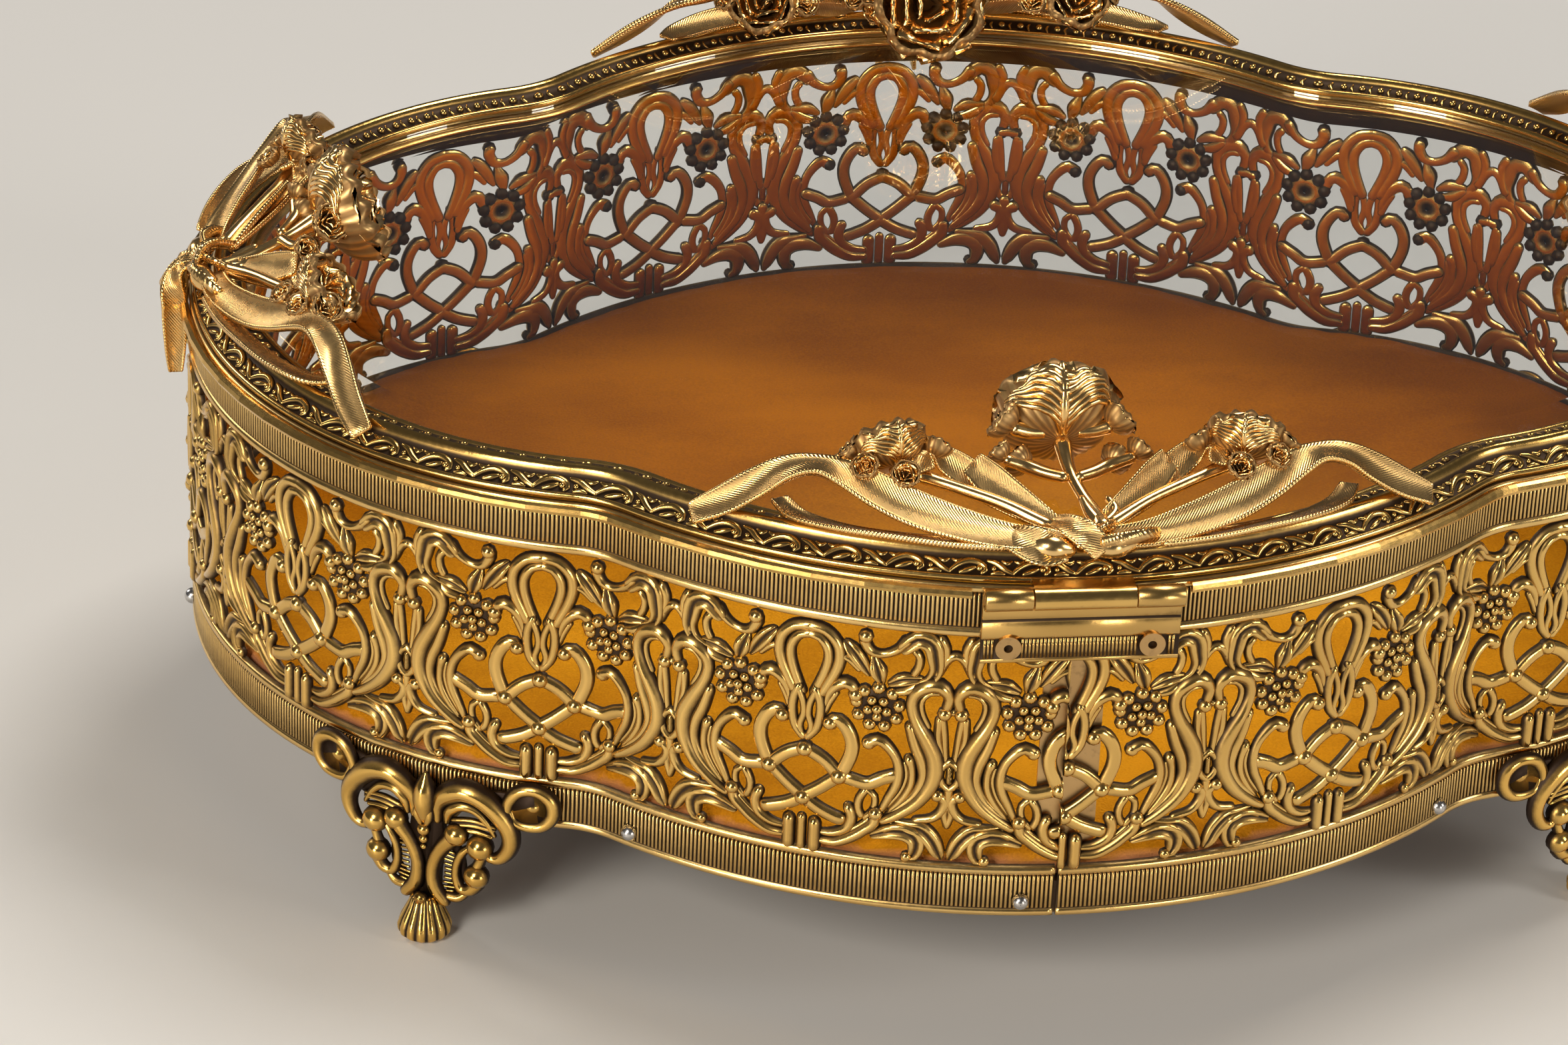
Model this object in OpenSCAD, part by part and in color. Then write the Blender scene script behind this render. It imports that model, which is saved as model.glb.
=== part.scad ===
// Oval lobed vanity casket: a pierced gallery wall on four cast feet, with a padded floor
// and a hinged lid that holds a bevelled glass pane and four cast bow-and-rose ornaments.
// +X runs along the length, -Y is the hinge side, +Z is up and z = 0 is the table.

/* [Case outline] */
// Length of the wall, end to end
case_len = 248; // [232:1:280]
// Depth of the wall, hinge side to opening side
case_dep = 193; // [180:1:205]
// Plan radius of the two long-side lobes
side_r = 95.5; // [90:0.5:104]
// Plan radius of the two end lobes
end_r = 70.5; // [64:0.5:76]
// Plan radius of the four hollow necks between the lobes
neck_r = 16; // [12:0.5:22]

/* [Wall] */
// Height of the gallery strip
wall_h = 56; // [46:1:68]
// Thickness of the gallery strip
wall_t = 0.9; // [0.7:0.1:1.4]
// Height of each reeded border of the strip
band_h = 7.5; // [6:0.5:9]
// Number of pattern repeats round the wall
cells = 16; // [14:1:18]
// Radius of the wire rolled into the top edge
wire_r = 0.8; // [0.6:0.1:1.1]

/* [Feet] */
// Height of the wall's lower edge above the table
foot_h = 22; // [18:1:28]
// Width of a foot across its ears
foot_w = 38; // [32:1:42]
// Thickness of a foot's scrolled plate
foot_t = 3; // [2.4:0.1:3.6]
// Space along the wall between a foot's ear and the start of the neck
foot_gap = 2.4; // [1.5:0.1:8]

/* [Floor] */
// Thickness of the base board
board_t = 5.5; // [4:0.5:8]
// Thickness of the padded lining
pad_t = 4.5; // [3:0.5:7]

/* [Lid] */
// Width of the lid moulding, rim to glass opening
frame_w = 8.8; // [8:0.2:12]
// Height of the moulding's rib over the wall
rib_rise = 4; // [3.2:0.2:6]
// Thickness of the glass pane
glass_t = 2.8; // [2:0.2:4]
// Width of the bevel cut on the glass
bevel_w = 9; // [5:0.5:12]
// Gap between the closed lid and the wall
lid_gap = 0.3; // [0.2:0.1:0.8]

/* [Hinge] */
// Length of the hinge
hinge_len = 29; // [24:1:36]
// Length of the lid's knuckle
knuckle_len = 15; // [12:0.5:18]
// Outer radius of the knuckles
knuckle_r = 1.7; // [1.5:0.1:2.2]
// Radius of the hinge pin
pin_r = 0.8; // [0.6:0.05:1]
// Spacing of the eyelets in the wall leaf
eyelet_gap = 21; // [18:0.5:24]

/* [Ornaments] */
// Half the span of a bow's ribbons, along the rim
bow_reach = 56; // [44:1:58]
// Width of the ribbons
ribbon_w = 4.2; // [3.4:0.2:5]
// Thickness of the ribbons
ribbon_t = 1.1; // [0.8:0.1:1.4]
// Diameter of the middle rose
rose_d = 15; // [12:0.5:18]
// Diameter of each side rose
bud_d = 10.5; // [8:0.5:12]

/* [Hidden] */
SIDES = ["back", "front", "left", "right"];
CORNERS = ["back_left", "back_right", "front_left", "front_right"];

gilt = [0.80, 0.60, 0.28];
cast_gilt = [0.88, 0.68, 0.34];
old_gilt = [0.62, 0.47, 0.22];
amber = [0.80, 0.50, 0.10];

fit_gap = 0.15;                         // slack between pieces that sit together
moving_gap = 0.3;                       // least space between pieces that pass each other
wall_top = foot_h + wall_h;
lid_base = wall_top + lid_gap;
pad_top = foot_h + board_t + pad_t;
inner = wall_t + fit_gap;               // how far inside the outline the floor starts

// Centres of the lobes and necks, in the quarter where x and y are positive
side_c = [0, case_dep / 2 - side_r];
end_c = [case_len / 2 - end_r, 0];
centre_gap = norm(end_c - side_c);
toward_end = (end_c - side_c) / centre_gap;
neck_a = (pow(side_r + neck_r, 2) - pow(end_r + neck_r, 2) + pow(centre_gap, 2)) / (2 * centre_gap);
neck_b = sqrt(pow(side_r + neck_r, 2) - pow(neck_a, 2));
neck_c = side_c + neck_a * toward_end + neck_b * [-toward_end.y, toward_end.x];
side_half = atan2(neck_c.x - side_c.x, neck_c.y - side_c.y);
end_half = atan2(neck_c.y - end_c.y, neck_c.x - end_c.x);
neck_from = atan2(side_c.y - neck_c.y, side_c.x - neck_c.x);
neck_to = atan2(end_c.y - neck_c.y, end_c.x - neck_c.x);

// Lengths along a quarter of the wall
side_arc = side_r * side_half * PI / 180;
neck_arc = neck_r * (neck_to - neck_from) * PI / 180;
end_arc = end_r * end_half * PI / 180;
quarter = side_arc + neck_arc + end_arc;
cell_w = 4 * quarter / cells;
gallery_h = wall_h - 2 * band_h;

// Hinge places
pin_y = -(case_dep / 2 + moving_gap + knuckle_r);
pin_z = lid_base + 0.8 - knuckle_r;
leaf_t = 0.8;
leaf_drop = band_h + 4.2;
eyelet_r = 1.2;
eyelet_z = wall_top - leaf_drop + 2.6;
hinge_bore = pin_r + 0.05;

// Lid profile places, as distance in from the outline and height over the lid's underside
rib_in = frame_w * 0.5;
rib_r = 0.8;
glass_seat = 1.6;                       // height of the glass's upper face over the lid's underside
glass_hold = 1.4;                       // how far the moulding covers the glass

// One quarter of the outline, d outside the wall's outer face, from the side to the end
ARC_STEPS = [9, 5, 14];
function quarter_line(d) = concat(
    [for (i = [0:ARC_STEPS[0]]) let (a = side_half * i / ARC_STEPS[0])
        side_c + (side_r + d) * [sin(a), cos(a)]],
    [for (i = [1:ARC_STEPS[1] - 1]) let (a = neck_from + (neck_to - neck_from) * i / ARC_STEPS[1])
        neck_c + (neck_r - d) * [cos(a), sin(a)]],
    [for (i = [0:ARC_STEPS[2]]) let (a = end_half * (1 - i / ARC_STEPS[2]))
        end_c + (end_r + d) * [cos(a), sin(a)]]
);

// The whole outline, clockwise from above, from the middle of the opening side
function outline(d) = let (q = quarter_line(d), n = len(q)) concat(
    q,
    [for (i = [n - 2:-1:0]) [q[i].x, -q[i].y]],
    [for (i = [1:n - 1]) [-q[i].x, -q[i].y]],
    [for (i = [n - 2:-1:1]) [-q[i].x, q[i].y]]
);

// Place and outward direction on the wall, at length t from the middle of a side
function on_quarter(t) =
    t < side_arc ? let (a = t / side_r * 180 / PI) [side_c + side_r * [sin(a), cos(a)], 90 - a] :
    t < side_arc + neck_arc ? let (a = neck_from + (t - side_arc) / neck_r * 180 / PI)
        [neck_c + neck_r * [cos(a), sin(a)], a + 180] :
    let (a = end_half - (t - side_arc - neck_arc) / end_r * 180 / PI)
        [end_c + end_r * [cos(a), sin(a)], a];

// The same for any length s from the middle of the hinge side, towards +X
function on_wall(s) = let (
    whole = 4 * quarter,
    m = (s % whole + whole) % whole,
    k = floor(m / quarter),
    t = m - k * quarter,
    p = on_quarter(k % 2 == 0 ? t : quarter - t),
    right = k == 0 || k == 1,
    front = k == 1 || k == 2,
    flip = right ? p[1] : 180 - p[1]
) [[(right ? 1 : -1) * p[0].x, (front ? 1 : -1) * p[0].y], front ? flip : -flip];

// Puts its children on the wall's outer face at length s, x pointing out
module at_wall(s, z) {
    w = on_wall(s);
    translate([w[0].x, w[0].y, z]) rotate([0, 0, w[1]]) children();
}

// A plate with the outline's shape, from z0 up
module plate(d, z0, t) {
    translate([0, 0, z0]) linear_extrude(t) polygon(outline(d));
}

// A solid through outlines given as [d, z]: open ones get end faces, closed ones make a ring
module loft(rings, closed) {
    n = len(outline(0));
    m = len(rings);
    points = [for (r = rings) for (p = outline(r[0])) [p.x, p.y, r[1]]];
    walls = [for (j = [0:closed ? m - 1 : m - 2]) for (i = [0:n - 1]) let (k = (j + 1) % m, e = (i + 1) % n)
        [j * n + i, j * n + e, k * n + e, k * n + i]];
    ends = closed ? [] : [[for (i = [n - 1:-1:0]) i], [for (i = [0:n - 1]) (m - 1) * n + i]];
    polyhedron(points, concat(walls, ends));
}

// Openings of one repeat, as [length from its middle, height up the gallery, radius],
// as shares of the repeat's width and the gallery's height
OPENINGS = [
    [0, 0.76, 2.9], [0.15, 0.44, 2.9], [-0.15, 0.44, 2.9], [0, 0.31, 2.9], [0.23, 0.25, 2.2],
    [-0.23, 0.25, 2.2], [0.5, 0.50, 2.4], [0.5, 0.80, 2.2], [0.5, 0.15, 2.2], [0, 0.11, 2.2]
];

module gallery_strip() {
    color(gilt) difference() {
        plate(0, foot_h, wall_h);
        plate(-wall_t, foot_h - 1, wall_h + 2);
        for (c = [0:cells - 1])
            for (o = OPENINGS)
                at_wall((c + 0.5 + o[0]) * cell_w, foot_h + band_h + o[1] * gallery_h)
                    rotate([0, 90, 0]) cylinder(h = 8, r = o[2], center = true, $fn = 24);
        // the two ends of the strip meet behind the hinge
        translate([-0.15, -case_dep / 2 - 5, foot_h - 1]) cube([0.3, 10, wall_h + 2]);
        for (x = [-1, 1])
            translate([x * eyelet_gap / 2, -case_dep / 2, eyelet_z])
                rotate([90, 0, 0]) cylinder(h = 8, r = eyelet_r + 0.05, center = true, $fn = 32);
        for (s = nail_places) at_wall(s, nail_z)
            rotate([0, 90, 0]) cylinder(h = 8, r = nail_r + 0.05, center = true, $fn = 24);
    }
}

// A narrow strip soldered inside the joint of the gallery strip
module seam_splice() {
    splice_w = 9;
    splice_t = 0.5;
    splice_gap = 0.35;                  // to the curved wall, so that the straight strip clears it
    color(old_gilt) translate([-splice_w / 2, -(case_dep / 2 - wall_t - splice_gap), pad_top + 1])
        cube([splice_w, splice_t, wall_top - band_h - 3 - pad_top - 1]);
}

// Round wire in the strip's top edge, left open where the hinge sits
module rim_wire() {
    notch = hinge_len + 3;
    steps = 8;
    ring = [for (i = [0:steps - 1]) let (a = -360 * i / steps) [
        fit_gap + wire_r * (1 - cos(a)), wall_top - wire_r - wire_r * sin(a)]];
    color(gilt) difference() {
        loft(ring, true);
        translate([-notch / 2, -case_dep / 2 - 5, wall_top - 4]) cube([notch, 10, 6]);
    }
}

/* Floor */
nail_r = 0.6;
nail_z = foot_h + board_t / 2;
nail_places = [side_arc - 3, -(side_arc - 3), 2 * quarter - side_arc + 3, 2 * quarter + side_arc - 3,
    quarter, 3 * quarter, 2 * quarter, -6];

module base_board() {
    color([0.45, 0.30, 0.16]) difference() {
        plate(-inner, foot_h, board_t);
        for (s = nail_places) at_wall(s, nail_z)
            rotate([0, 90, 0]) cylinder(h = 18, r = nail_r + 0.02, center = true, $fn = 24);
        for (c = CORNERS) at_corner(c) translate([-lug_in, 0, foot_h - 1])
            cylinder(h = screw_len, r = screw_r + 0.02, $fn = 24);
    }
}

module underside_felt() {
    felt_t = 0.6;
    color([0.25, 0.16, 0.08]) plate(-lug_reach - 2, foot_h - felt_t, felt_t);
}

module lining_pad() {
    d = -inner - 0.25;
    base = foot_h + board_t;
    color(amber) loft([
        [d, base], [d, base + pad_t * 0.45], [d - 0.7, base + pad_t * 0.8], [d - 2.4, base + pad_t]], false);
}

// Dome-headed nails through the lower border into the edge of the board
module band_nails() {
    color([0.75, 0.72, 0.68]) for (s = nail_places) at_wall(s, nail_z) rotate([0, 90, 0]) {
        translate([0, 0, -7]) cylinder(h = 7.6, r = nail_r, $fn = 24);
        translate([0, 0, 0.1]) intersection() {
            sphere(r = 1.3, $fn = 24);
            cylinder(h = 2, r = 2, $fn = 24);
        }
    }
}

/* Feet */
lug_reach = 11;
lug_in = 7.5;
lug_t = 1.5;
screw_r = 1;
screw_len = 5;
ball_r = 4.3;
ball_h = 5.6;
foot_top = 6;                           // how far a foot's plate climbs the wall
foot_angle = end_half - (foot_w / 2 + foot_gap) / end_r * 180 / PI;

// Puts its children at a corner of the wall, x pointing out, z = 0 at the table
module at_corner(c) {
    right = c == "back_right" || c == "front_right";
    front = c == "front_left" || c == "front_right";
    a = foot_angle;
    p = end_c + end_r * [cos(a), sin(a)];
    turn = right ? (front ? a : -a) : (front ? 180 - a : 180 + a);
    translate([(right ? 1 : -1) * p.x, (front ? 1 : -1) * p.y, 0]) rotate([0, 0, turn]) children();
}

// Outline of the scrolled plate: ears, paired scrolls and a waist that runs down to the ball
module foot_shape() {
    ear = 3.6;
    y_top = foot_h + foot_top;
    for (m = [-1, 1]) {
        translate([m * (foot_w / 2 - ear), y_top - ear - 1]) difference() {
            circle(r = ear, $fn = 32);
            circle(r = ear * 0.4, $fn = 24);
        }
        translate([m * foot_w * 0.2, y_top - 7]) difference() {
            circle(r = 6.6, $fn = 40);
            translate([m * 0.6, -0.8]) circle(r = 3.1, $fn = 32);
        }
        translate([m * foot_w * 0.12, foot_h - 9]) difference() {
            circle(r = 5.2, $fn = 40);
            translate([m * 1.2, 0]) circle(r = 2.4, $fn = 32);
        }
    }
    polygon([[-2.2, y_top - 1], [2.2, y_top - 1], [3, foot_h - 8], [2.6, ball_h - 0.6], [-2.6, ball_h - 0.6],
        [-3, foot_h - 8]]);
}

module foot() {
    color(gilt) {
        difference() {
            union() {
                intersection() {
                    rotate([90, 0, 90]) translate([0, 0, -6]) linear_extrude(12) foot_shape();
                    translate([-end_r, 0, 0]) difference() {
                        cylinder(h = foot_h + 8, r = end_r + 0.05 + foot_t, $fn = 180);
                        translate([0, 0, -1]) cylinder(h = foot_h + 10, r = end_r + 0.05, $fn = 180);
                    }
                }
                translate([-lug_reach, -4, foot_h - lug_t]) cube([lug_reach + 1, 8, lug_t]);
                translate([foot_t / 2 - 0.2, 0, 0]) rotate_extrude($fn = 48) polygon([
                    [0, 0], [ball_r - 1.9, 0], [ball_r - 0.7, 0.5], [ball_r, 1.6], [ball_r, 2.4],
                    [ball_r - 0.6, ball_h - 2], [ball_r - 1.2, ball_h - 0.7], [ball_r - 2.1, ball_h], [0, ball_h]]);
            }
            translate([-lug_in, 0, foot_h - 4]) cylinder(h = 8, r = screw_r + 0.15, $fn = 24);
        }
    }
}

module foot_at(c) {
    at_corner(c) foot();
}

module foot_screws() {
    color([0.7, 0.6, 0.4]) for (c = CORNERS) at_corner(c) translate([-lug_in, 0, foot_h - lug_t]) {
        translate([0, 0, -0.9]) cylinder(h = 0.9, r = 2, $fn = 32);
        cylinder(h = screw_len, r = screw_r, $fn = 24);
    }
}

/* Hinge */
module knuckle(from, to, r) {
    translate([from, pin_y, pin_z]) rotate([0, 90, 0]) cylinder(h = to - from, r = r, $fn = 40);
}

module hinge_case_leaf() {
    face = -case_dep / 2 - fit_gap;
    color(gilt) difference() {
        union() {
            translate([-hinge_len / 2, face - leaf_t, wall_top - leaf_drop])
                cube([hinge_len, leaf_t, leaf_drop - (wall_top - pin_z)]);
            knuckle(-hinge_len / 2, -knuckle_len / 2, knuckle_r);
            knuckle(knuckle_len / 2, hinge_len / 2, knuckle_r);
        }
        translate([-knuckle_len / 2 - fit_gap, pin_y - 5, pin_z - knuckle_r - 0.4])
            cube([knuckle_len + 2 * fit_gap, 10, 8]);
        knuckle(-hinge_len, hinge_len, hinge_bore);
        for (x = [-1, 1])
            translate([x * eyelet_gap / 2, face, eyelet_z])
                rotate([90, 0, 0]) cylinder(h = 8, r = eyelet_r + 0.05, center = true, $fn = 32);
    }
}

module hinge_case_eyelets() {
    face = -case_dep / 2 - fit_gap - leaf_t;
    color([0.5, 0.36, 0.16]) for (x = [-1, 1])
        translate([x * eyelet_gap / 2, face, eyelet_z]) rotate([90, 0, 0]) difference() {
            union() {
                translate([0, 0, 0.02]) cylinder(h = 0.5, r = eyelet_r + 0.7, $fn = 40);
                translate([0, 0, -leaf_t - fit_gap - 2.4])
                    cylinder(h = 2.6 + leaf_t + fit_gap, r = eyelet_r, $fn = 32);
            }
            translate([0, 0, -8]) cylinder(h = 16, r = eyelet_r * 0.55, $fn = 24);
        }
}

module hinge_pin() {
    color([0.7, 0.55, 0.3]) knuckle(-hinge_len / 2, hinge_len / 2, pin_r);
}

lid_leaf_in = frame_w - 1.6;            // how far under the moulding the lid's leaf reaches
module hinge_lid_leaf() {
    w = knuckle_len - 0.3;
    color(old_gilt) difference() {
        union() {
            knuckle(-w / 2, w / 2, knuckle_r);
            translate([-w / 2, pin_y, lid_base]) cube([w, lid_leaf_in - case_dep / 2 - pin_y, leaf_t]);
        }
        knuckle(-hinge_len, hinge_len, hinge_bore);
        for (x = [-1, 1])
            translate([x * rivet_gap / 2, rivet_y, lid_base - 1]) cylinder(h = 4, r = rivet_r + 0.05, $fn = 24);
    }
}

rivet_gap = 9;
rivet_r = 0.7;
rivet_y = -case_dep / 2 + rib_in;
module hinge_lid_rivets() {
    color([0.5, 0.36, 0.16]) for (x = [-1, 1]) translate([x * rivet_gap / 2, rivet_y, lid_base]) {
        translate([0, 0, leaf_t + 0.02]) cylinder(h = 0.5, r = rivet_r + 0.5, $fn = 24);
        translate([0, 0, 0.05]) cylinder(h = leaf_t, r = rivet_r, $fn = 24);
    }
}

/* Lid */
// The moulding's section, as [inset, height over the lid's underside]
FRAME_SECTION = [
    [0.5, 0], [0.4, 0.5], [0.7, 1.0], [1.6, 1.5], [rib_in - 1.4, 2.7], [rib_in - rib_r, rib_rise - 0.6],
    [rib_in - 0.3, rib_rise], [rib_in + 0.3, rib_rise], [rib_in + rib_r, rib_rise - 0.6],
    [frame_w - 1.0, rib_rise - 1.1], [frame_w - 0.3, rib_rise - 0.9], [frame_w, rib_rise - 1.3],
    [frame_w, glass_seat + 0.05], [frame_w - glass_hold - 0.3, glass_seat + 0.05], [frame_w - glass_hold - 0.3, 0]
];

module lid_frame() {
    pocket_w = knuckle_len + 0.3;
    pocket_h = leaf_t + 0.6;
    color(gilt) difference() {
        loft([for (p = FRAME_SECTION) [-p[0], lid_base + p[1]]], true);
        translate([-pocket_w / 2, -case_dep / 2 - 3, lid_base - 1])
            cube([pocket_w, lid_leaf_in + 3.2, pocket_h + 1]);
        for (s = SIDES) for (m = [-1, 1]) at_bow(s) translate([0, 0, lid_base - 1])
            translate(rim_place(bow_radius(s), [m * bow_foot_s, rib_in, 0]))
                cylinder(h = 9, r = 0.75, $fn = 24);
    }
}

// The pane: square edge, then a wide shallow bevel up to the flat middle
module lid_glass() {
    edge = -(frame_w - glass_hold);
    top = lid_base + glass_seat;
    color([0.9, 0.95, 0.92, 0.35]) loft([
        [edge, top - glass_t], [edge, top - 0.9], [edge - bevel_w, top]], false);
}

// A flat ring that holds the pane's underside
module glass_retainer() {
    ring_t = 0.4;
    outer = frame_w - glass_hold - 2.3;
    lip = frame_w + 1.2;
    top = lid_base + glass_seat - glass_t - 0.05;
    color(old_gilt) loft([[-outer, top - ring_t], [-outer, top], [-lip, top], [-lip, top - ring_t]], true);
}

/* Ornaments: their heights are over the top of the lid's rib */
rib_top = lid_base + rib_rise;
bow_foot_s = 12;                        // where the bow's rivets stand, along the rim
streamer_in = rib_in - 2;               // inset of the streamers' outer edge
streamer_low = 1.9;                     // their height near the knot
streamer_crest = 6;                     // how much higher their wave rises

function bow_radius(s) = s == "back" || s == "front" ? side_r : end_r;

// Puts its children at a lobe's centre, turned so that -y looks out through the middle of that side
module at_bow(s) {
    turn = s == "back" ? 0 : s == "right" ? 90 : s == "front" ? 180 : 270;
    c = s == "back" ? [0, -side_c.y] : s == "front" ? [0, side_c.y] : s == "right" ? end_c : -end_c;
    translate([c.x, c.y, 0]) rotate([0, 0, turn]) children();
}

// A place over the rim: p is [length along the rim, inset, height]
function rim_place(r, p) = let (a = p[0] / r * 180 / PI) [(r - p[1]) * sin(a), -(r - p[1]) * cos(a), p[2]];

// A flat strap between two rim places
module strap(r, from, to) {
    a = rim_place(r, from);
    run = rim_place(r, to) - a;
    translate(a) rotate([0, -asin(run.z / norm(run)), atan2(run.y, run.x)])
        translate([-0.5, -ribbon_w / 2, -ribbon_t / 2]) cube([norm(run) + 1, ribbon_w, ribbon_t]);
}

// Height of the long streamers at a share u of their reach: one wave that ends low on the rim
function streamer_z(u) = streamer_low + streamer_crest * pow(sin(180 * max(0, min(1, (u - 0.26) / 0.74))), 2);

// Both long streamers in one: a wavy strip bent to the rim
module streamers(r) {
    half = r * sin(bow_reach / r * 180 / PI);
    steps = 24;
    line = [for (i = [-steps:steps]) [half * i / steps, streamer_z(abs(i) / steps)]];
    under = [for (i = [len(line) - 1:-1:0]) [line[i].x, line[i].y - ribbon_t]];
    intersection() {
        rotate([90, 0, 0]) linear_extrude(r + 10) polygon(concat(line, under));
        difference() {
            translate([0, 0, -3]) cylinder(h = 30, r = r - streamer_in, $fn = 180);
            translate([0, 0, -4]) cylinder(h = 40, r = r - streamer_in - ribbon_w, $fn = 180);
        }
    }
}

// The end that hangs down outside the rim, seen along the rim: [inset, height]
drop_in = -(fit_gap + 2 * wire_r + moving_gap);
drop_top = 2.6;
drop_end = -rib_rise - 12;
DROP = [[2.6, drop_top], [drop_in, drop_top], [drop_in - ribbon_t, drop_top - 1.2],
    [drop_in - ribbon_t, drop_end], [drop_in, drop_end], [drop_in, drop_top - 1.4], [2.6, drop_top - 1.4]];

module drop_tail(r) {
    translate([-ribbon_w / 2, 0, 0]) rotate([90, 0, 90]) linear_extrude(ribbon_w)
        polygon([for (p = DROP) [p[0] - r, p[1]]]);
}

module ribbon_bow(s) {
    r = bow_radius(s);
    color(cast_gilt) at_bow(s) translate([0, 0, rib_top]) {
        streamers(r);
        for (m = [-1, 1]) {
            strap(r, [m * 2, rib_in + 1, 2.2], [m * 17, rib_in + 16.6, 5.6]);
            strap(r, [m * 4, rib_in + 1.4, 2], [m * 21, rib_in + 9.6, 5]);
            translate(rim_place(r, [m * bow_foot_s, rib_in, 0.1])) cylinder(h = 1.4, r = 1.6, $fn = 24);
        }
        if (s != "back") drop_tail(r);
        // knot
        translate(rim_place(r, [0, rib_in + 0.2, 2])) rotate([0, 90, 0]) rotate_extrude($fn = 32)
            polygon([[0, -4.5], [1.1, -4.5], [1.9, -2.5], [1.7, 0], [1.9, 2.5], [1.1, 4.5], [0, 4.5]]);
    }
}

// A rose head with a hollow face, turned from its foot towards tip, on a round stem
module rose_head(r, from, at, d, tilt, swing) {
    root = rim_place(r, from);
    place = rim_place(r, at);
    run = place - root;
    translate(root) rotate([0, acos(run.z / norm(run)), atan2(run.y, run.x)])
        cylinder(h = norm(run), r = 1, $fn = 20);
    translate(place) rotate([0, 0, swing]) rotate([-tilt, 0, 0]) rotate_extrude($fn = 32) polygon([
        [0, -d * 0.3], [d * 0.2, -d * 0.28], [d * 0.4, -d * 0.1], [d * 0.5, d * 0.14], [d * 0.42, d * 0.3],
        [d * 0.28, d * 0.34], [d * 0.22, d * 0.22], [0, d * 0.2]]);
}

module middle_rose(s) {
    r = bow_radius(s);
    color(cast_gilt) at_bow(s) translate([0, 0, rib_top])
        rose_head(r, [0, rib_in + 2.3, 4.3], [0, rib_in + 18.6, 10.4], rose_d, 62, 0);
}

module side_roses(s) {
    r = bow_radius(s);
    color(cast_gilt) at_bow(s) translate([0, 0, rib_top])
        for (m = [-1, 1])
            rose_head(r, [m * 12, rib_in + 6.6, 5.6], [m * 30, rib_in + 9, 8.2], bud_d, 52, -m * 30);
}

module ornament_rivets() {
    color([0.5, 0.36, 0.16]) for (s = SIDES) for (m = [-1, 1]) at_bow(s)
        translate([0, 0, lid_base]) translate(rim_place(bow_radius(s), [m * bow_foot_s, rib_in, 0.2]))
            cylinder(h = rib_rise - 0.15, r = 0.7, $fn = 24);
}

gallery_strip();
seam_splice();
rim_wire();
base_board();
underside_felt();
lining_pad();
band_nails();
for (c = CORNERS) foot_at(c);
foot_screws();
hinge_case_leaf();
hinge_case_eyelets();
hinge_pin();
lid_frame();
lid_glass();
glass_retainer();
hinge_lid_leaf();
hinge_lid_rivets();
ornament_rivets();
for (s = SIDES) ribbon_bow(s);
for (s = SIDES) middle_rose(s);
for (s = SIDES) side_roses(s);
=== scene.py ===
"""A lobed vanity casket: pierced gilt gallery, cast feet, hinged lid of bevelled glass with bows and roses.

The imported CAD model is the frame. Lengths in the classes are millimetres; meshes are made in metres.
+X runs along the length, -Y is the hinge side and +Z is up.
"""

import logging
import math
from dataclasses import dataclass, field
from enum import Enum
from typing import Callable, Iterable, Sequence

import bmesh
import bpy
import numpy as np
from mathutils import Matrix, Vector, noise


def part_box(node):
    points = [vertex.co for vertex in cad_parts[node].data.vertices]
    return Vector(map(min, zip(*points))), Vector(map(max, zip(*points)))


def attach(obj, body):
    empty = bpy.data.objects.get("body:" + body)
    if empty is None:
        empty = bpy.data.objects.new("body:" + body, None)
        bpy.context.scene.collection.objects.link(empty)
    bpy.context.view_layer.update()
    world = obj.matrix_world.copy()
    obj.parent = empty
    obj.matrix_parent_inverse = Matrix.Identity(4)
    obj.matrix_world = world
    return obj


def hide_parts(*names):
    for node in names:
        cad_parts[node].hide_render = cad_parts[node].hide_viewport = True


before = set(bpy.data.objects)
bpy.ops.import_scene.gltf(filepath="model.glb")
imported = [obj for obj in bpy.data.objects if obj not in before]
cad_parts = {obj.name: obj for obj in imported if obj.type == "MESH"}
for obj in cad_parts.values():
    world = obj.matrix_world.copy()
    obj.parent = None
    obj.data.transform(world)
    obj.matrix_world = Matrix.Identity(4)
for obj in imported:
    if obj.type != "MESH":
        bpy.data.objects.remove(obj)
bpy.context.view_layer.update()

MM = 0.001
LOG = logging.getLogger("casket")

Point = tuple[float, ...]
SIDES = ("back", "right", "front", "left")
CORNERS = ("back_left", "back_right", "front_left", "front_right")


# ---- node trees


class Val:
    """A number socket: Python arithmetic on it adds Math nodes."""

    def __init__(self, tree: "Tree", socket: bpy.types.NodeSocket) -> None:
        """Wraps one output socket of a tree."""
        self.tree, self.socket = tree, socket

    def _with(self, operation: str, *values: "Val | float") -> "Val":
        """Adds one Math node."""
        return self.tree.math(operation, *values)

    def __add__(self, other: "Val | float") -> "Val":
        """self + other"""
        return self._with("ADD", self, other)

    def __sub__(self, other: "Val | float") -> "Val":
        """self - other"""
        return self._with("SUBTRACT", self, other)

    def __rsub__(self, other: float) -> "Val":
        """other - self"""
        return self._with("SUBTRACT", other, self)

    def __mul__(self, other: "Val | float") -> "Val":
        """self * other"""
        return self._with("MULTIPLY", self, other)

    def __truediv__(self, other: "Val | float") -> "Val":
        """self / other"""
        return self._with("DIVIDE", self, other)

    __radd__ = __add__
    __rmul__ = __mul__

    def clamped(self) -> "Val":
        """Keeps the number between 0 and 1."""
        return self._with("MINIMUM", self._with("MAXIMUM", self, 0.0), 1.0)


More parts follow.
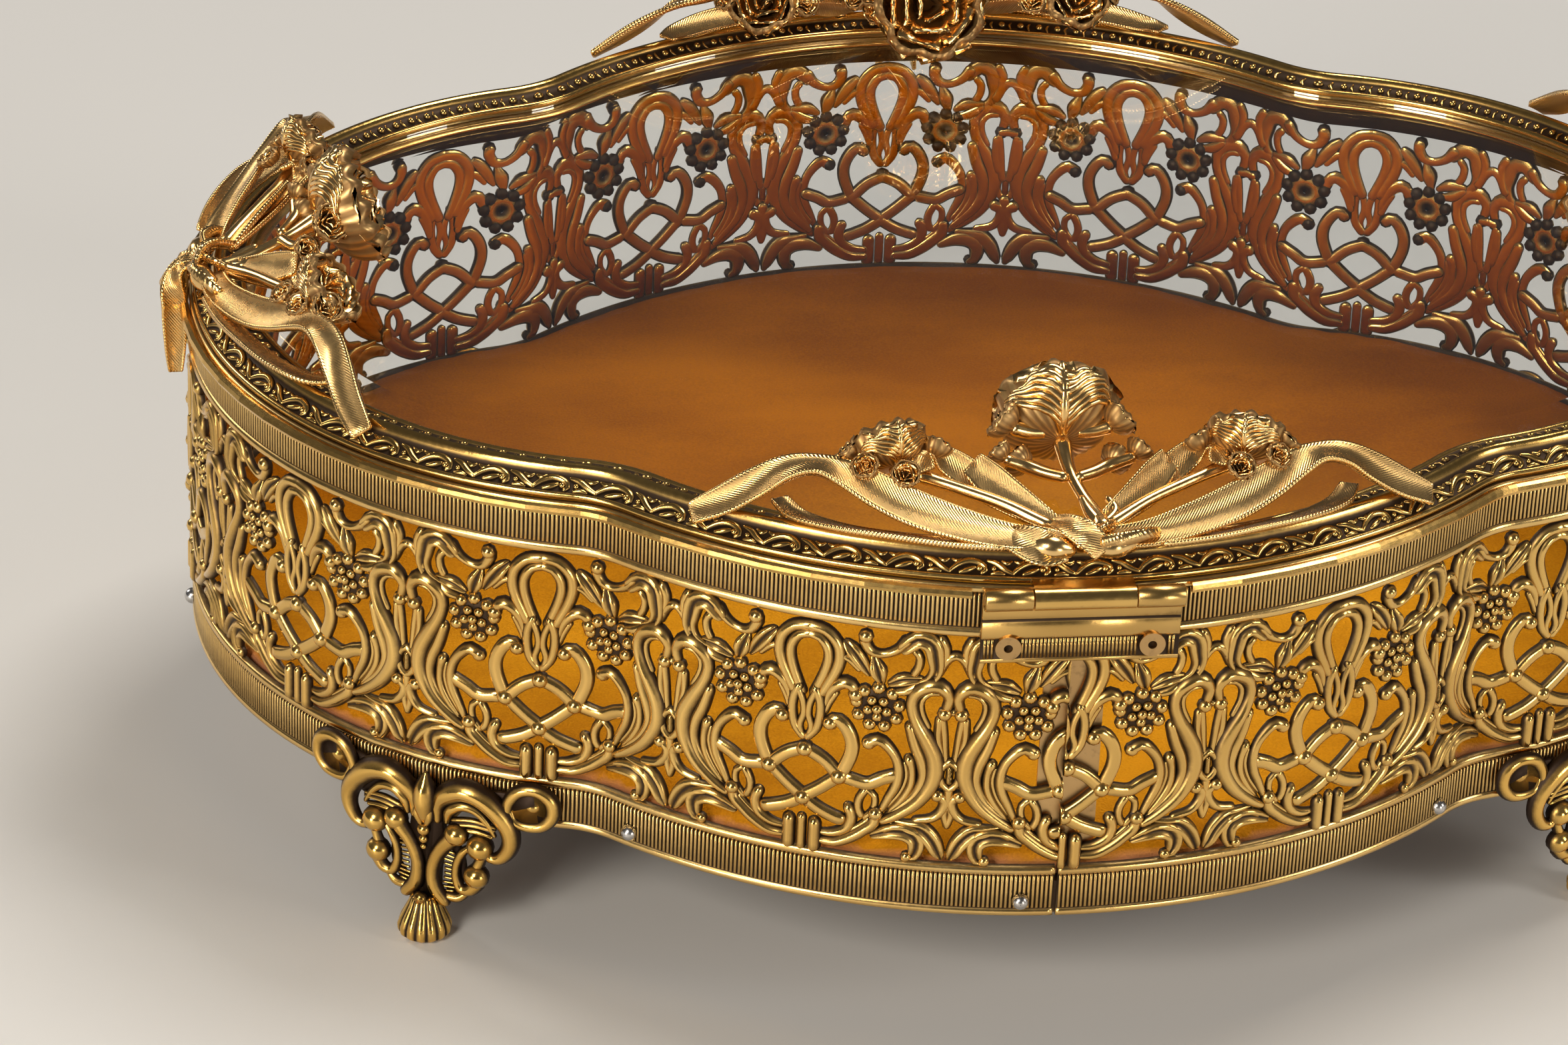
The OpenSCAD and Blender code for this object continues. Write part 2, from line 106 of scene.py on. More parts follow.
class Tree:
    """A node tree with one way to add any node."""

    def __init__(self, tree: bpy.types.NodeTree) -> None:
        """Starts from an existing tree, emptied."""
        self.tree = tree
        tree.nodes.clear()

    def add(self, kind: str, settings: dict | None = None, inputs: dict | None = None) -> bpy.types.Node:
        """Adds a node.

        Args:
            kind: the node's type name.
            settings: properties, set first.
            inputs: socket name or number to a value, a Val or an output socket.

        Returns:
            The node.
        """
        node = self.tree.nodes.new(kind)
        for key, value in (settings or {}).items():
            setattr(node, key, value)
        for key, value in (inputs or {}).items():
            self.feed(node.inputs[key], value)
        return node

    def feed(self, socket: bpy.types.NodeSocket, value: object) -> None:
        """Links a socket, or sets its default value.

        Args:
            socket: the input.
            value: a Val or an output socket to link, or a plain value.
        """
        if isinstance(value, Val):
            self.tree.links.new(value.socket, socket)
        elif isinstance(value, bpy.types.NodeSocket):
            self.tree.links.new(value, socket)
        else:
            socket.default_value = value

    def math(self, operation: str, *values: "Val | float") -> Val:
        """Adds a Math node and returns its result."""
        node = self.add("ShaderNodeMath", {"operation": operation}, dict(enumerate(values)))
        return Val(self, node.outputs[0])

    def ramp(self, value: Val, stops: Sequence[tuple[float, float]]) -> Val:
        """Maps a number through a smooth ramp of (place, grey) stops.

        Args:
            value: the number.
            stops: places and grey levels, lowest first.

        Returns:
            The grey level.
        """
        node = self.add("ShaderNodeValToRGB", {}, {"Fac": value})
        node.color_ramp.interpolation = "EASE"
        for i, (place, grey) in enumerate(stops):
            element = node.color_ramp.elements[i] if i < 2 else node.color_ramp.elements.new(place)
            element.position, element.color = place, (grey, grey, grey, 1.0)
        return Val(self, node.outputs["Color"])

    def mix(self, share: Val | float, low: object, high: object) -> bpy.types.NodeSocket:
        """Mixes two colours by a share."""
        node = self.add("ShaderNodeMix", {"data_type": "RGBA"}, {0: share, 6: low, 7: high})
        return node.outputs[2]


# ---- finishes


MADE: dict[str, bpy.types.Material] = {}


@dataclass(frozen=True)
class Finish:
    """What every finish has: a name and a material built once."""

    name: str

    def material(self) -> bpy.types.Material:
        """Returns the material, building it the first time.

        Returns:
            The one material of this finish.
        """
        if self.name in MADE:
            return MADE[self.name]
        material = MADE[self.name] = bpy.data.materials.new(self.name)
        material.use_nodes = True
        tree = Tree(material.node_tree)
        shader = tree.add("ShaderNodeBsdfPrincipled")
        tree.add("ShaderNodeOutputMaterial", {}, {"Surface": shader.outputs[0]})
        self.build(tree, shader)
        return material

    def build(self, tree: Tree, shader: bpy.types.Node) -> None:
        """Sets the shader's sockets; each finish has its own."""
        raise NotImplementedError

    @staticmethod
    def noise(tree: Tree, scale: float, detail: float = 3.0, stretch: Point = (1, 1, 1)) -> Val:
        """Noise on the object's own coordinates, in cycles a metre.

        Args:
            tree: where the nodes go.
            scale: cycles a metre.
            detail: octaves.
            stretch: scale of each axis.

        Returns:
            A number about 0 to 1.
        """
        place = tree.add("ShaderNodeTexCoord").outputs["Object"]
        mapping = tree.add("ShaderNodeMapping", {}, {"Vector": place, "Scale": stretch})
        node = tree.add("ShaderNodeTexNoise", {}, {"Vector": mapping.outputs[0], "Scale": scale, "Detail": detail})
        return Val(tree, node.outputs[0])


@dataclass(frozen=True)
class Gilt(Finish):
    """Gold plate, bright on the ridges as a painted highlight, and dark in the hollows and down the flanks, partly
    old wash and partly painted shade.
    """

    bright: Point = (0.84, 0.54, 0.17)
    deep: Point = (0.60, 0.33, 0.08)
    wash_and_shade: Point = (0.045, 0.025, 0.012)
    rough: float = 0.17
    relief: bool = True
    grain: float = 0.05
    engraved: bool = False
    patchy: float = 0.2
    dark_to: float = 0.2
    light_from: float = 0.95

    def build(self, tree: Tree, shader: bpy.types.Node) -> None:
        """Mixes the dark wash and painted shade, deep and bright gold by the relief and by two noises.

        Args:
            tree: the material's tree.
            shader: its main shader.
        """
        broad = self.noise(tree, 45, 2)
        fine = self.noise(tree, 900, 3)
        if self.relief:
            # painted light: the relief share makes ridges bright as a painted highlight, and flanks and hollows dark,
            # partly old wash and partly painted shade
            height = Val(tree, tree.add("ShaderNodeAttribute", {"attribute_name": "relief"}).outputs["Fac"])
            share = tree.ramp(height + (fine - 0.5) * self.patchy, [(self.dark_to, 0.0), (self.light_from, 1.0)])
        else:
            share = tree.ramp(fine + broad * 0.6, [(0.25, 0.35), (0.75, 1.0)])
        gold = tree.mix(tree.ramp(broad, [(0.3, 0.0), (0.7, 1.0)]), (*self.deep, 1), (*self.bright, 1))
        warm = tree.mix(0.55, gold, (*self.bright, 1))
        tree.feed(shader.inputs["Base Color"], tree.mix(share, (*self.wash_and_shade, 1), warm))
        tree.feed(shader.inputs["Metallic"], share * 0.3 + 0.7)
        rough = (1 - share) * 0.35 + self.rough + (fine - 0.5) * 0.16
        tree.feed(shader.inputs["Roughness"], rough.clamped())
        height = fine
        if self.engraved:
            height = fine * 0.4 + self.lines(tree) * 0.6
        bump = tree.add("ShaderNodeBump", {}, {"Strength": self.grain * 4, "Distance": 0.0001, "Height": height})
        tree.feed(shader.inputs["Normal"], bump.outputs[0])

    @staticmethod
    def lines(tree: Tree) -> Val:
        """Fine slanting lines cut across a ribbon, from its own along and across values.

        Args:
            tree: the material's tree.

        Returns:
            A wave from -1 to 1.
        """
        along = Val(tree, tree.add("ShaderNodeAttribute", {"attribute_name": "along"}).outputs["Fac"])
        across = Val(tree, tree.add("ShaderNodeAttribute", {"attribute_name": "across"}).outputs["Fac"])
        return tree.math("SINE", (along + across * 1.3) * (2 * math.pi / 0.55))


@dataclass(frozen=True)
class Velvet(Finish):
    """Short-pile velvet with faint brushing marks."""

    light: Point = (0.56, 0.23, 0.008)
    dark: Point = (0.34, 0.125, 0.004)
    shaded_pale: Point = (0.34, 0.105, 0.002)
    shaded_deep: Point = (0.20, 0.055, 0.001)
    painted_sheen: Point = (0.62, 0.26, 0.14)

    def build(self, tree: Tree, shader: bpy.types.Node) -> None:
        """Mixes two tones by broad brushing and a fine pile, in a lit copy and a darker painted-shade copy.

        Args:
            tree: the material's tree.
            shader: its main shader.
        """
        brush = self.noise(tree, 22, 3, (1, 2.2, 1))
        pile = self.noise(tree, 2600, 2)
        share = tree.ramp(brush * 0.8 + pile * 0.35, [(0.35, 0.0), (0.8, 1.0)])
        edge = Val(tree, tree.add("ShaderNodeAttribute", {"attribute_name": "edge"}).outputs["Fac"])
        lit_share = Val(tree, tree.add("ShaderNodeAttribute", {"attribute_name": "lit_share"}).outputs["Fac"])
        # painted light and shade: a share made from the pad's place mixes the lit tones with darker shaded copies of
        # them
        shaded = tree.mix(share, (*self.shaded_deep, 1), (*self.shaded_pale, 1))
        top = tree.mix(lit_share, shaded, tree.mix(share, (*self.dark, 1), (*self.light, 1)))
        # the pad's sides are mixed to a paler colour: a painted sheen
        tree.feed(shader.inputs["Base Color"], tree.mix(edge, top, (*self.painted_sheen, 1)))
        tree.feed(shader.inputs["Roughness"], pile * 0.2 + 0.75)
        shader.inputs["Specular IOR Level"].default_value = 0.02
        shader.inputs["Sheen Weight"].default_value = 0.02
        shader.inputs["Sheen Roughness"].default_value = 0.4
        shader.inputs["Sheen Tint"].default_value = (1.0, 0.6, 0.15, 1)
        bump = tree.add("ShaderNodeBump", {}, {"Strength": 0.5, "Distance": 0.0003, "Height": pile})
        tree.feed(shader.inputs["Normal"], bump.outputs[0])


@dataclass(frozen=True)
class Glass(Finish):
    """Clear plate glass."""

    def build(self, tree: Tree, shader: bpy.types.Node) -> None:
        """A transmitting shader with a trace of dust on the surface.

        Args:
            tree: the material's tree.
            shader: its main shader.
        """
        dust = self.noise(tree, 300, 4)
        shader.inputs["Base Color"].default_value = (0.97, 0.99, 0.98, 1)
        shader.inputs["Transmission Weight"].default_value = 1.0
        shader.inputs["IOR"].default_value = 1.5
        tree.feed(shader.inputs["Roughness"], tree.ramp(dust, [(0.55, 0.0), (0.95, 0.05)]))
        ray = tree.add("ShaderNodeLightPath").outputs["Is Shadow Ray"]
        clear = tree.add("ShaderNodeBsdfTransparent", {}, {"Color": (0.95, 0.97, 0.96, 1)})
        mixed = tree.add("ShaderNodeMixShader", {}, {0: ray, 1: shader.outputs[0], 2: clear.outputs[0]})
        out = next(n for n in tree.tree.nodes if n.type == "OUTPUT_MATERIAL")
        tree.feed(out.inputs["Surface"], mixed.outputs[0])


@dataclass(frozen=True)
class Fibre(Finish):
    """A dull fibrous surface such as board or felt."""

    light: Point = (0.35, 0.22, 0.12)
    dark: Point = (0.22, 0.13, 0.07)
    scale: float = 600.0

    def build(self, tree: Tree, shader: bpy.types.Node) -> None:
        """Mixes two tones by a fine noise that also raises the fibres.

        Args:
            tree: the material's tree.
            shader: its main shader.
        """
        fibre = self.noise(tree, self.scale, 5, (1, 1, 3))
        tree.feed(shader.inputs["Base Color"], tree.mix(fibre, (*self.dark, 1), (*self.light, 1)))
        tree.feed(shader.inputs["Roughness"], fibre * 0.2 + 0.75)
        bump = tree.add("ShaderNodeBump", {}, {"Strength": 0.4, "Distance": 0.0003, "Height": fibre})
        tree.feed(shader.inputs["Normal"], bump.outputs[0])


@dataclass(frozen=True)
class Ground(Finish):
    """The pale floor that the casket stands on."""

    shade: Point = (0.78, 0.77, 0.75)

    def build(self, tree: Tree, shader: bpy.types.Node) -> None:
        """One even tone with a faint mottle.

        Args:
            tree: the material's tree.
            shader: its main shader.
        """
        mottle = self.noise(tree, 6, 2)
        low = tuple(0.96 * c for c in self.shade)
        tree.feed(shader.inputs["Base Color"], tree.mix(mottle, (*low, 1), (*self.shade, 1)))
        shader.inputs["Roughness"].default_value = 0.55


STAMPED = Gilt("stamped_gilt")
BAND = Gilt("band_gilt", rough=0.22, bright=(0.86, 0.58, 0.22))
CAST = Gilt("cast_pale_gilt", bright=(0.95, 0.64, 0.27), deep=(0.80, 0.45, 0.13), rough=0.2, engraved=True,
    grain=0.12, patchy=0.06, wash_and_shade=(0.16, 0.07, 0.02), light_from=0.98)
FOOT = Gilt("burnished_gilt", bright=(0.90, 0.56, 0.15), deep=(0.64, 0.34, 0.06), rough=0.15, dark_to=0.34,
    light_from=1.0, grain=0.06, wash_and_shade=(0.03, 0.015, 0.007))
PLAIN = Gilt("plain_gilt", relief=False, rough=0.22, grain=0.03)
WORN = Gilt("worn_gilt", relief=False, bright=(0.66, 0.42, 0.18), deep=(0.36, 0.2, 0.08), rough=0.34)
# a darker copy of the gilt for the hinge leaf: painted shade, as the leaf lies in shadow; its higher roughness is
# wear
LEAF = Gilt("shaded_dull_gilt", bright=(0.68, 0.43, 0.14), deep=(0.44, 0.25, 0.07), rough=0.24)
PIN = Gilt("pin_metal", relief=False, bright=(0.62, 0.60, 0.58), deep=(0.34, 0.30, 0.28), rough=0.25)
VELVET = Velvet("amber_velvet")
GLASS = Glass("plate_glass")
BOARD = Fibre("base_board")
FELT = Fibre("underside_felt", light=(0.16, 0.10, 0.06), dark=(0.09, 0.05, 0.03), scale=1500)
GROUND = Ground("pale_floor")


# ---- shapes


@dataclass(frozen=True)
class Outline:
    """The casket's plan: two side lobes and two end lobes joined by hollow necks."""

    length: float
    depth: float
    side_r: float = 95.5
    end_r: float = 70.5
    neck_r: float = 16.0

    def __post_init__(self) -> None:
        """Works out the centres and the lengths of the arcs in one quarter."""
        side_c = np.array([0.0, self.depth / 2 - self.side_r])
        end_c = np.array([self.length / 2 - self.end_r, 0.0])
        gap = float(np.linalg.norm(end_c - side_c))
        toward = (end_c - side_c) / gap
        near, far = self.side_r + self.neck_r, self.end_r + self.neck_r
        along = (near**2 - far**2 + gap**2) / (2 * gap)
        across = math.sqrt(near**2 - along**2)
        neck_c = side_c + along * toward + across * np.array([-toward[1], toward[0]])
        turn = 2 * math.pi
        values = {"side_c": side_c, "end_c": end_c, "neck_c": neck_c,
            "side_half": math.atan2(neck_c[0] - side_c[0], neck_c[1] - side_c[1]),
            "end_half": math.atan2(neck_c[1] - end_c[1], neck_c[0] - end_c[0]),
            "neck_from": math.atan2(side_c[1] - neck_c[1], side_c[0] - neck_c[0]) % turn,
            "neck_to": math.atan2(end_c[1] - neck_c[1], end_c[0] - neck_c[0]) % turn,}
        values["side_arc"] = self.side_r * values["side_half"]
        values["neck_arc"] = self.neck_r * (values["neck_to"] - values["neck_from"])
        values["quarter"] = values["side_arc"] + values["neck_arc"] + self.end_r * values["end_half"]
        for key, value in values.items():
            object.__setattr__(self, key, value)

    @property
    def around(self) -> float:
        """The whole length of the outline."""
        return 4 * self.quarter

    def at(self, s: np.ndarray, d: np.ndarray | float = 0.0) -> np.ndarray:
        """Places on the wall.

        Args:
            s: lengths from the middle of the hinge side, towards +X.
            d: distances outside the wall's outer face.

        Returns:
            One [x, y] for each length.
        """
        s, d = np.broadcast_arrays(np.asarray(s, float), np.asarray(d, float))
        m = s % self.around
        k = np.minimum(np.floor(m / self.quarter), 3).astype(int)
        t = m - k * self.quarter
        t = np.where(k % 2 == 0, t, self.quarter - t)
        a_side = t / self.side_r
        a_neck = self.neck_from + (t - self.side_arc) / self.neck_r
        a_end = self.end_half - (t - self.side_arc - self.neck_arc) / self.end_r
        on_side, on_neck = t < self.side_arc, t < self.side_arc + self.neck_arc
        x = np.where(on_side, self.side_c[0] + (self.side_r + d) * np.sin(a_side),
            np.where(on_neck, self.neck_c[0] + (self.neck_r - d) * np.cos(a_neck),
                self.end_c[0] + (self.end_r + d) * np.cos(a_end)))
        y = np.where(on_side, self.side_c[1] + (self.side_r + d) * np.cos(a_side),
            np.where(on_neck, self.neck_c[1] + (self.neck_r - d) * np.sin(a_neck),
                self.end_c[1] + (self.end_r + d) * np.sin(a_end)))
        right = np.isin(k, (0, 1))
        front = np.isin(k, (1, 2))
        return np.stack([np.where(right, x, -x), np.where(front, y, -y)], axis=-1)


def linked(name: str, data: bpy.types.ID) -> bpy.types.Object:
    """A new object in the scene."""
    made = bpy.data.objects.new(name, data)
    bpy.context.scene.collection.objects.link(made)
    return made


def box_mm(node: str) -> tuple[np.ndarray, np.ndarray]:
    """A CAD node's lowest and highest corner, in millimetres."""
    low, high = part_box(node)
    return np.array(low) / MM, np.array(high) / MM


_STRIP = box_mm("gallery_strip")
PLAN = Outline(length=float(_STRIP[1][0] - _STRIP[0][0]), depth=float(_STRIP[1][1] - _STRIP[0][1]))
WALL_FOOT, WALL_TOP = float(_STRIP[0][2]), float(_STRIP[1][2])
LID_BASE = float(box_mm("lid_frame")[0][2])


def spline(points: Sequence[Point], count: int) -> np.ndarray:
    """Evenly spaced places on a smooth curve through points of any width.

    Args:
        points: the curve's own points; columns after the first two or three ride along.
        count: how many places.

    Returns:
        An array of places, one row each.
    """
    p = np.array(points, float)
    p = np.vstack([2 * p[0] - p[1], p, 2 * p[-1] - p[-2]])
    rows = []
    for i in range(1, len(p) - 2):
        t = np.linspace(0, 1, 12, endpoint=False)[:, None]
        a, b, c, e = p[i - 1], p[i], p[i + 1], p[i + 2]
        rows.append(0.5 * (2 * b + (c - a) * t + (2 * a - 5 * b + 4 * c - e) * t**2 + (3 * b - a - 3 * c + e) * t**3))
    dense = np.vstack([*rows, p[-2]])
    dims = min(3, dense.shape[1] - 1) if dense.shape[1] > 3 else 2
    gaps = np.linalg.norm(np.diff(dense[:, :dims], axis=0), axis=1)
    run = np.concatenate([[0], np.cumsum(gaps)])
    want = np.linspace(0, run[-1], count)
    return np.stack([np.interp(want, run, dense[:, j]) for j in range(dense.shape[1])], axis=1)


class Relief:
    """A mesh under construction, with a relief value at each vertex: 0 in a hollow, 1 on a ridge."""

    def __init__(self) -> None:
        """Starts empty."""
        self.verts: list[np.ndarray] = []
        self.faces: list[tuple[int, ...]] = []
        self.values: dict[str, list[np.ndarray]] = {"relief": [], "along": [], "across": []}
        self.count = 0

    def add(self, verts: np.ndarray, faces: Iterable[Sequence[int]], relief: np.ndarray | float,
        along: np.ndarray | float = 0.0, across: np.ndarray | float = 0.0) -> None:
        """Adds vertices, and faces numbered from the first of them.

        Args:
            verts: rows of x, y, z.
            faces: vertex numbers, from 0 in this batch.
            relief: height share of each vertex.
            along: length value of each vertex.
            across: width value of each vertex.
        """
        verts = np.asarray(verts, float).reshape(-1, 3)
        self.verts.append(verts)
        self.faces += [tuple(self.count + i for i in f) for f in faces]
        for key, value in (("relief", relief), ("along", along), ("across", across)):
            self.values[key].append(np.broadcast_to(np.asarray(value, float), (len(verts),)))
        self.count += len(verts)

    def grid(self, rows: np.ndarray, relief: np.ndarray | float, around: bool = False, caps: bool = False,
        loop: bool = False, along: np.ndarray | float = 0.0, across: np.ndarray | float = 0.0) -> None:
        """Adds a sheet of rows of points, or a tube where each row closes on itself.

        Args:
            rows: array of [row, point, xyz].
            relief: one value for each point of the array, or one for all.
            around: whether each row closes.
            caps: whether the first and last row get an end face.
            loop: whether the last row joins the first.
            along: length value for each point.
            across: width value for each point.
        """
        n, m = rows.shape[:2]
        faces = []
        for i in range(n if loop else n - 1):
            for j in range(m if around else m - 1):
                a, b = i * m + j, i * m + (j + 1) % m
                k = (i + 1) % n
                faces.append((a, b, k * m + (j + 1) % m, k * m + j))
        if caps:
            faces += [tuple(range(m - 1, -1, -1)), tuple((n - 1) * m + j for j in range(m))]
        flat = [np.broadcast_to(np.asarray(v, float), (n, m)).reshape(-1) for v in (relief, along, across)]
        self.add(rows.reshape(-1, 3), faces, *flat)

    def mapped(self, change: Callable[[np.ndarray], np.ndarray]) -> "Relief":
        """A copy whose vertices went through a function.

        Args:
            change: takes and returns rows of x, y, z.

        Returns:
            The copy.
        """
        other = Relief()
        other.verts = [change(v) for v in self.verts]
        other.faces, other.count = list(self.faces), self.count
        other.values = {k: list(v) for k, v in self.values.items()}
        return other

    def join(self, other: "Relief") -> None:
        """Adds another mesh to this one.

        Args:
            other: what to add.
        """
        self.verts += other.verts
        self.faces += [tuple(self.count + i for i in f) for f in other.faces]
        for key in self.values:
            self.values[key] += other.values[key]
        self.count += other.count

    def object(self, name: str, finish: Finish | None = None, fix: bool = True) -> bpy.types.Object:
        """Makes the Blender object, smooth, with its finish.

        Args:
            name: the piece's name.
            finish: its finish, or none yet.
            fix: whether to work the normals out again.

        Returns:
            The object, linked to the scene.
        """
        mesh = bpy.data.meshes.new(name)
        mesh.from_pydata((np.vstack(self.verts) * MM).tolist(), [], self.faces)
        for key, parts in self.values.items():
            attribute = mesh.attributes.new(key, "FLOAT", "POINT")
            attribute.data.foreach_set("value", np.concatenate(parts).astype(np.float32))
        if fix:
            work = bmesh.new()
            work.from_mesh(mesh)
            bmesh.ops.recalc_face_normals(work, faces=work.faces)
            work.to_mesh(mesh)
            work.free()
        mesh.shade_smooth()
        thing = linked(name, mesh)
        if finish:
            mesh.materials.append(finish.material())
        return thing


class Section(Enum):
    """Cross-sections of a stamped stroke, as (share of half-width, share of height, relief)."""

    # the relief column paints the crown light and the flanks dark: painted highlight and painted shade
    ROUND = ((-1, 0, 0.0), (-0.88, 0.38, 0.2), (-0.6, 0.72, 0.6), (-0.28, 0.94, 0.95), (0, 1, 1.0),
        (0.28, 0.94, 0.95), (0.6, 0.72, 0.6), (0.88, 0.38, 0.2), (1, 0, 0.0), (0.85, -0.16, 0.8),
        (0.4, -0.28, 0.9), (-0.4, -0.28, 0.9), (-0.85, -0.16, 0.8))
    FLUTED = ((-1, 0, 0.0), (-0.9, 0.6, 0.55), (-0.55, 0.95, 1.0), (-0.22, 0.6, 0.5), (0, 0.36, 0.12),
        (0.22, 0.6, 0.5), (0.55, 0.95, 1.0), (0.9, 0.6, 0.55), (1, 0, 0.0), (0.6, -0.25, 0.8), (-0.6, -0.25, 0.8))
    FLAT = ((-1, 0, 0.0), (-0.95, 0.45, 0.35), (-0.72, 0.78, 0.9), (0, 0.86, 1.0), (0.72, 0.78, 0.9),
        (0.95, 0.45, 0.35), (1, 0, 0.0), (0.6, -0.25, 0.8), (-0.6, -0.25, 0.8))
    WEB = ((-1, 0, 0.0), (-0.8, 1, 0.08), (0.8, 1, 0.08), (1, 0, 0.0), (0, -0.2, 0.8))


@dataclass(frozen=True)
class Stroke:
    """One raised line of a stamped pattern: its points are (across, up, half-width)."""

    points: tuple[Point, ...]
    section: Section = Section.ROUND
    lift: float = 0.0
    height: float = 1.15
    spacing: float = 0.85
    tallest: float = 1.25

    def onto(self, relief: Relief, mirror: float = 1.0, full: float = 1.0) -> None:
        """Adds the stroke to a flat relief: x across, y out of the face, z up.

        Args:
            relief: where it goes.
            mirror: -1 for the other half of a symmetrical pattern.
            full: how much wider than its own half-widths it is made.
        """
        p = np.array(self.points, float)
        rough = float(np.linalg.norm(np.diff(p[:, :2], axis=0), axis=1).sum())
        count = max(5, round(rough / self.spacing) + 2)
        c = spline([(u, v, r) for u, v, r in p], count)
        run = np.gradient(c[:, :2], axis=0)
        run /= np.linalg.norm(run, axis=1)[:, None] + 1e-9
        side = np.stack([run[:, 1], -run[:, 0]], axis=1)
        centre, size = c[:, :2], c[:, 2] * full
        start, stop = centre[0], centre[-1]
        rings = [(start - run[0] * size[0] * 0.85, 0.35), (start - run[0] * size[0] * 0.5, 0.8)]
        rings += [(q, 1.0) for q in centre]
        rings += [(stop + run[-1] * size[-1] * 0.5, 0.8), (stop + run[-1] * size[-1] * 0.85, 0.35)]
        sides = np.vstack([side[:1], side[:1], side, side[-1:], side[-1:]])
        sizes = np.concatenate([size[:1], size[:1], size, size[-1:], size[-1:]])
        shape = np.array(self.section.value)
        rows, values = [], []
        for (place, shrink), across, half in zip(rings, sides, sizes):
            flat = place[None, :] + across[None, :] * (shape[:, :1] * half * shrink)
            tall = self.lift + min(half, self.tallest) * self.height * shrink * shape[:, 1]
            rows.append(np.stack([flat[:, 0] * mirror, tall, flat[:, 1]], axis=1))
            values.append(shape[:, 2] * (0.4 + 0.6 * shrink))
        relief.grid(np.array(rows), np.array(values), around=True, caps=True)


def bead(relief: Relief, u: float, v: float, r: float, lift: float = 0.0, sides: int = 8, rings: int = 3) -> None:
    """Adds a domed bead that stands on the flat face.

    Args:
        relief: the flat relief to add to.
        u: place across.
        v: place up.
        r: radius.
        lift: height of its centre over the face.
        sides: faces round it.
        rings: rings from rim to crown.
    """
    angles = np.linspace(0, 2 * np.pi, sides, endpoint=False)
    rows, values = [], []
    for i in range(-1, rings):
        a = 0.5 * np.pi * i / rings
        rr = r * math.cos(a)
        rows.append(np.stack([u + rr * np.cos(angles), np.full(sides, lift + r * math.sin(a)),
            v + rr * np.sin(angles)], axis=1))
        # the crown is painted lightest and the foot darkest: painted highlight and painted shade
        values.append(np.full(sides, max(0.0, math.sin(a)) ** 0.6))
    relief.grid(np.array(rows), np.array(values), around=True, caps=False)
    base = relief.count - sides
    relief.add([[u, lift + r, v]], [], 1.0)
    top = relief.count - 1
    relief.faces += [(base + j, base + (j + 1) % sides, top) for j in range(sides)]
    low = relief.count - 1 - sides * len(rows)
    relief.faces.append(tuple(low + j for j in range(sides - 1, -1, -1)))


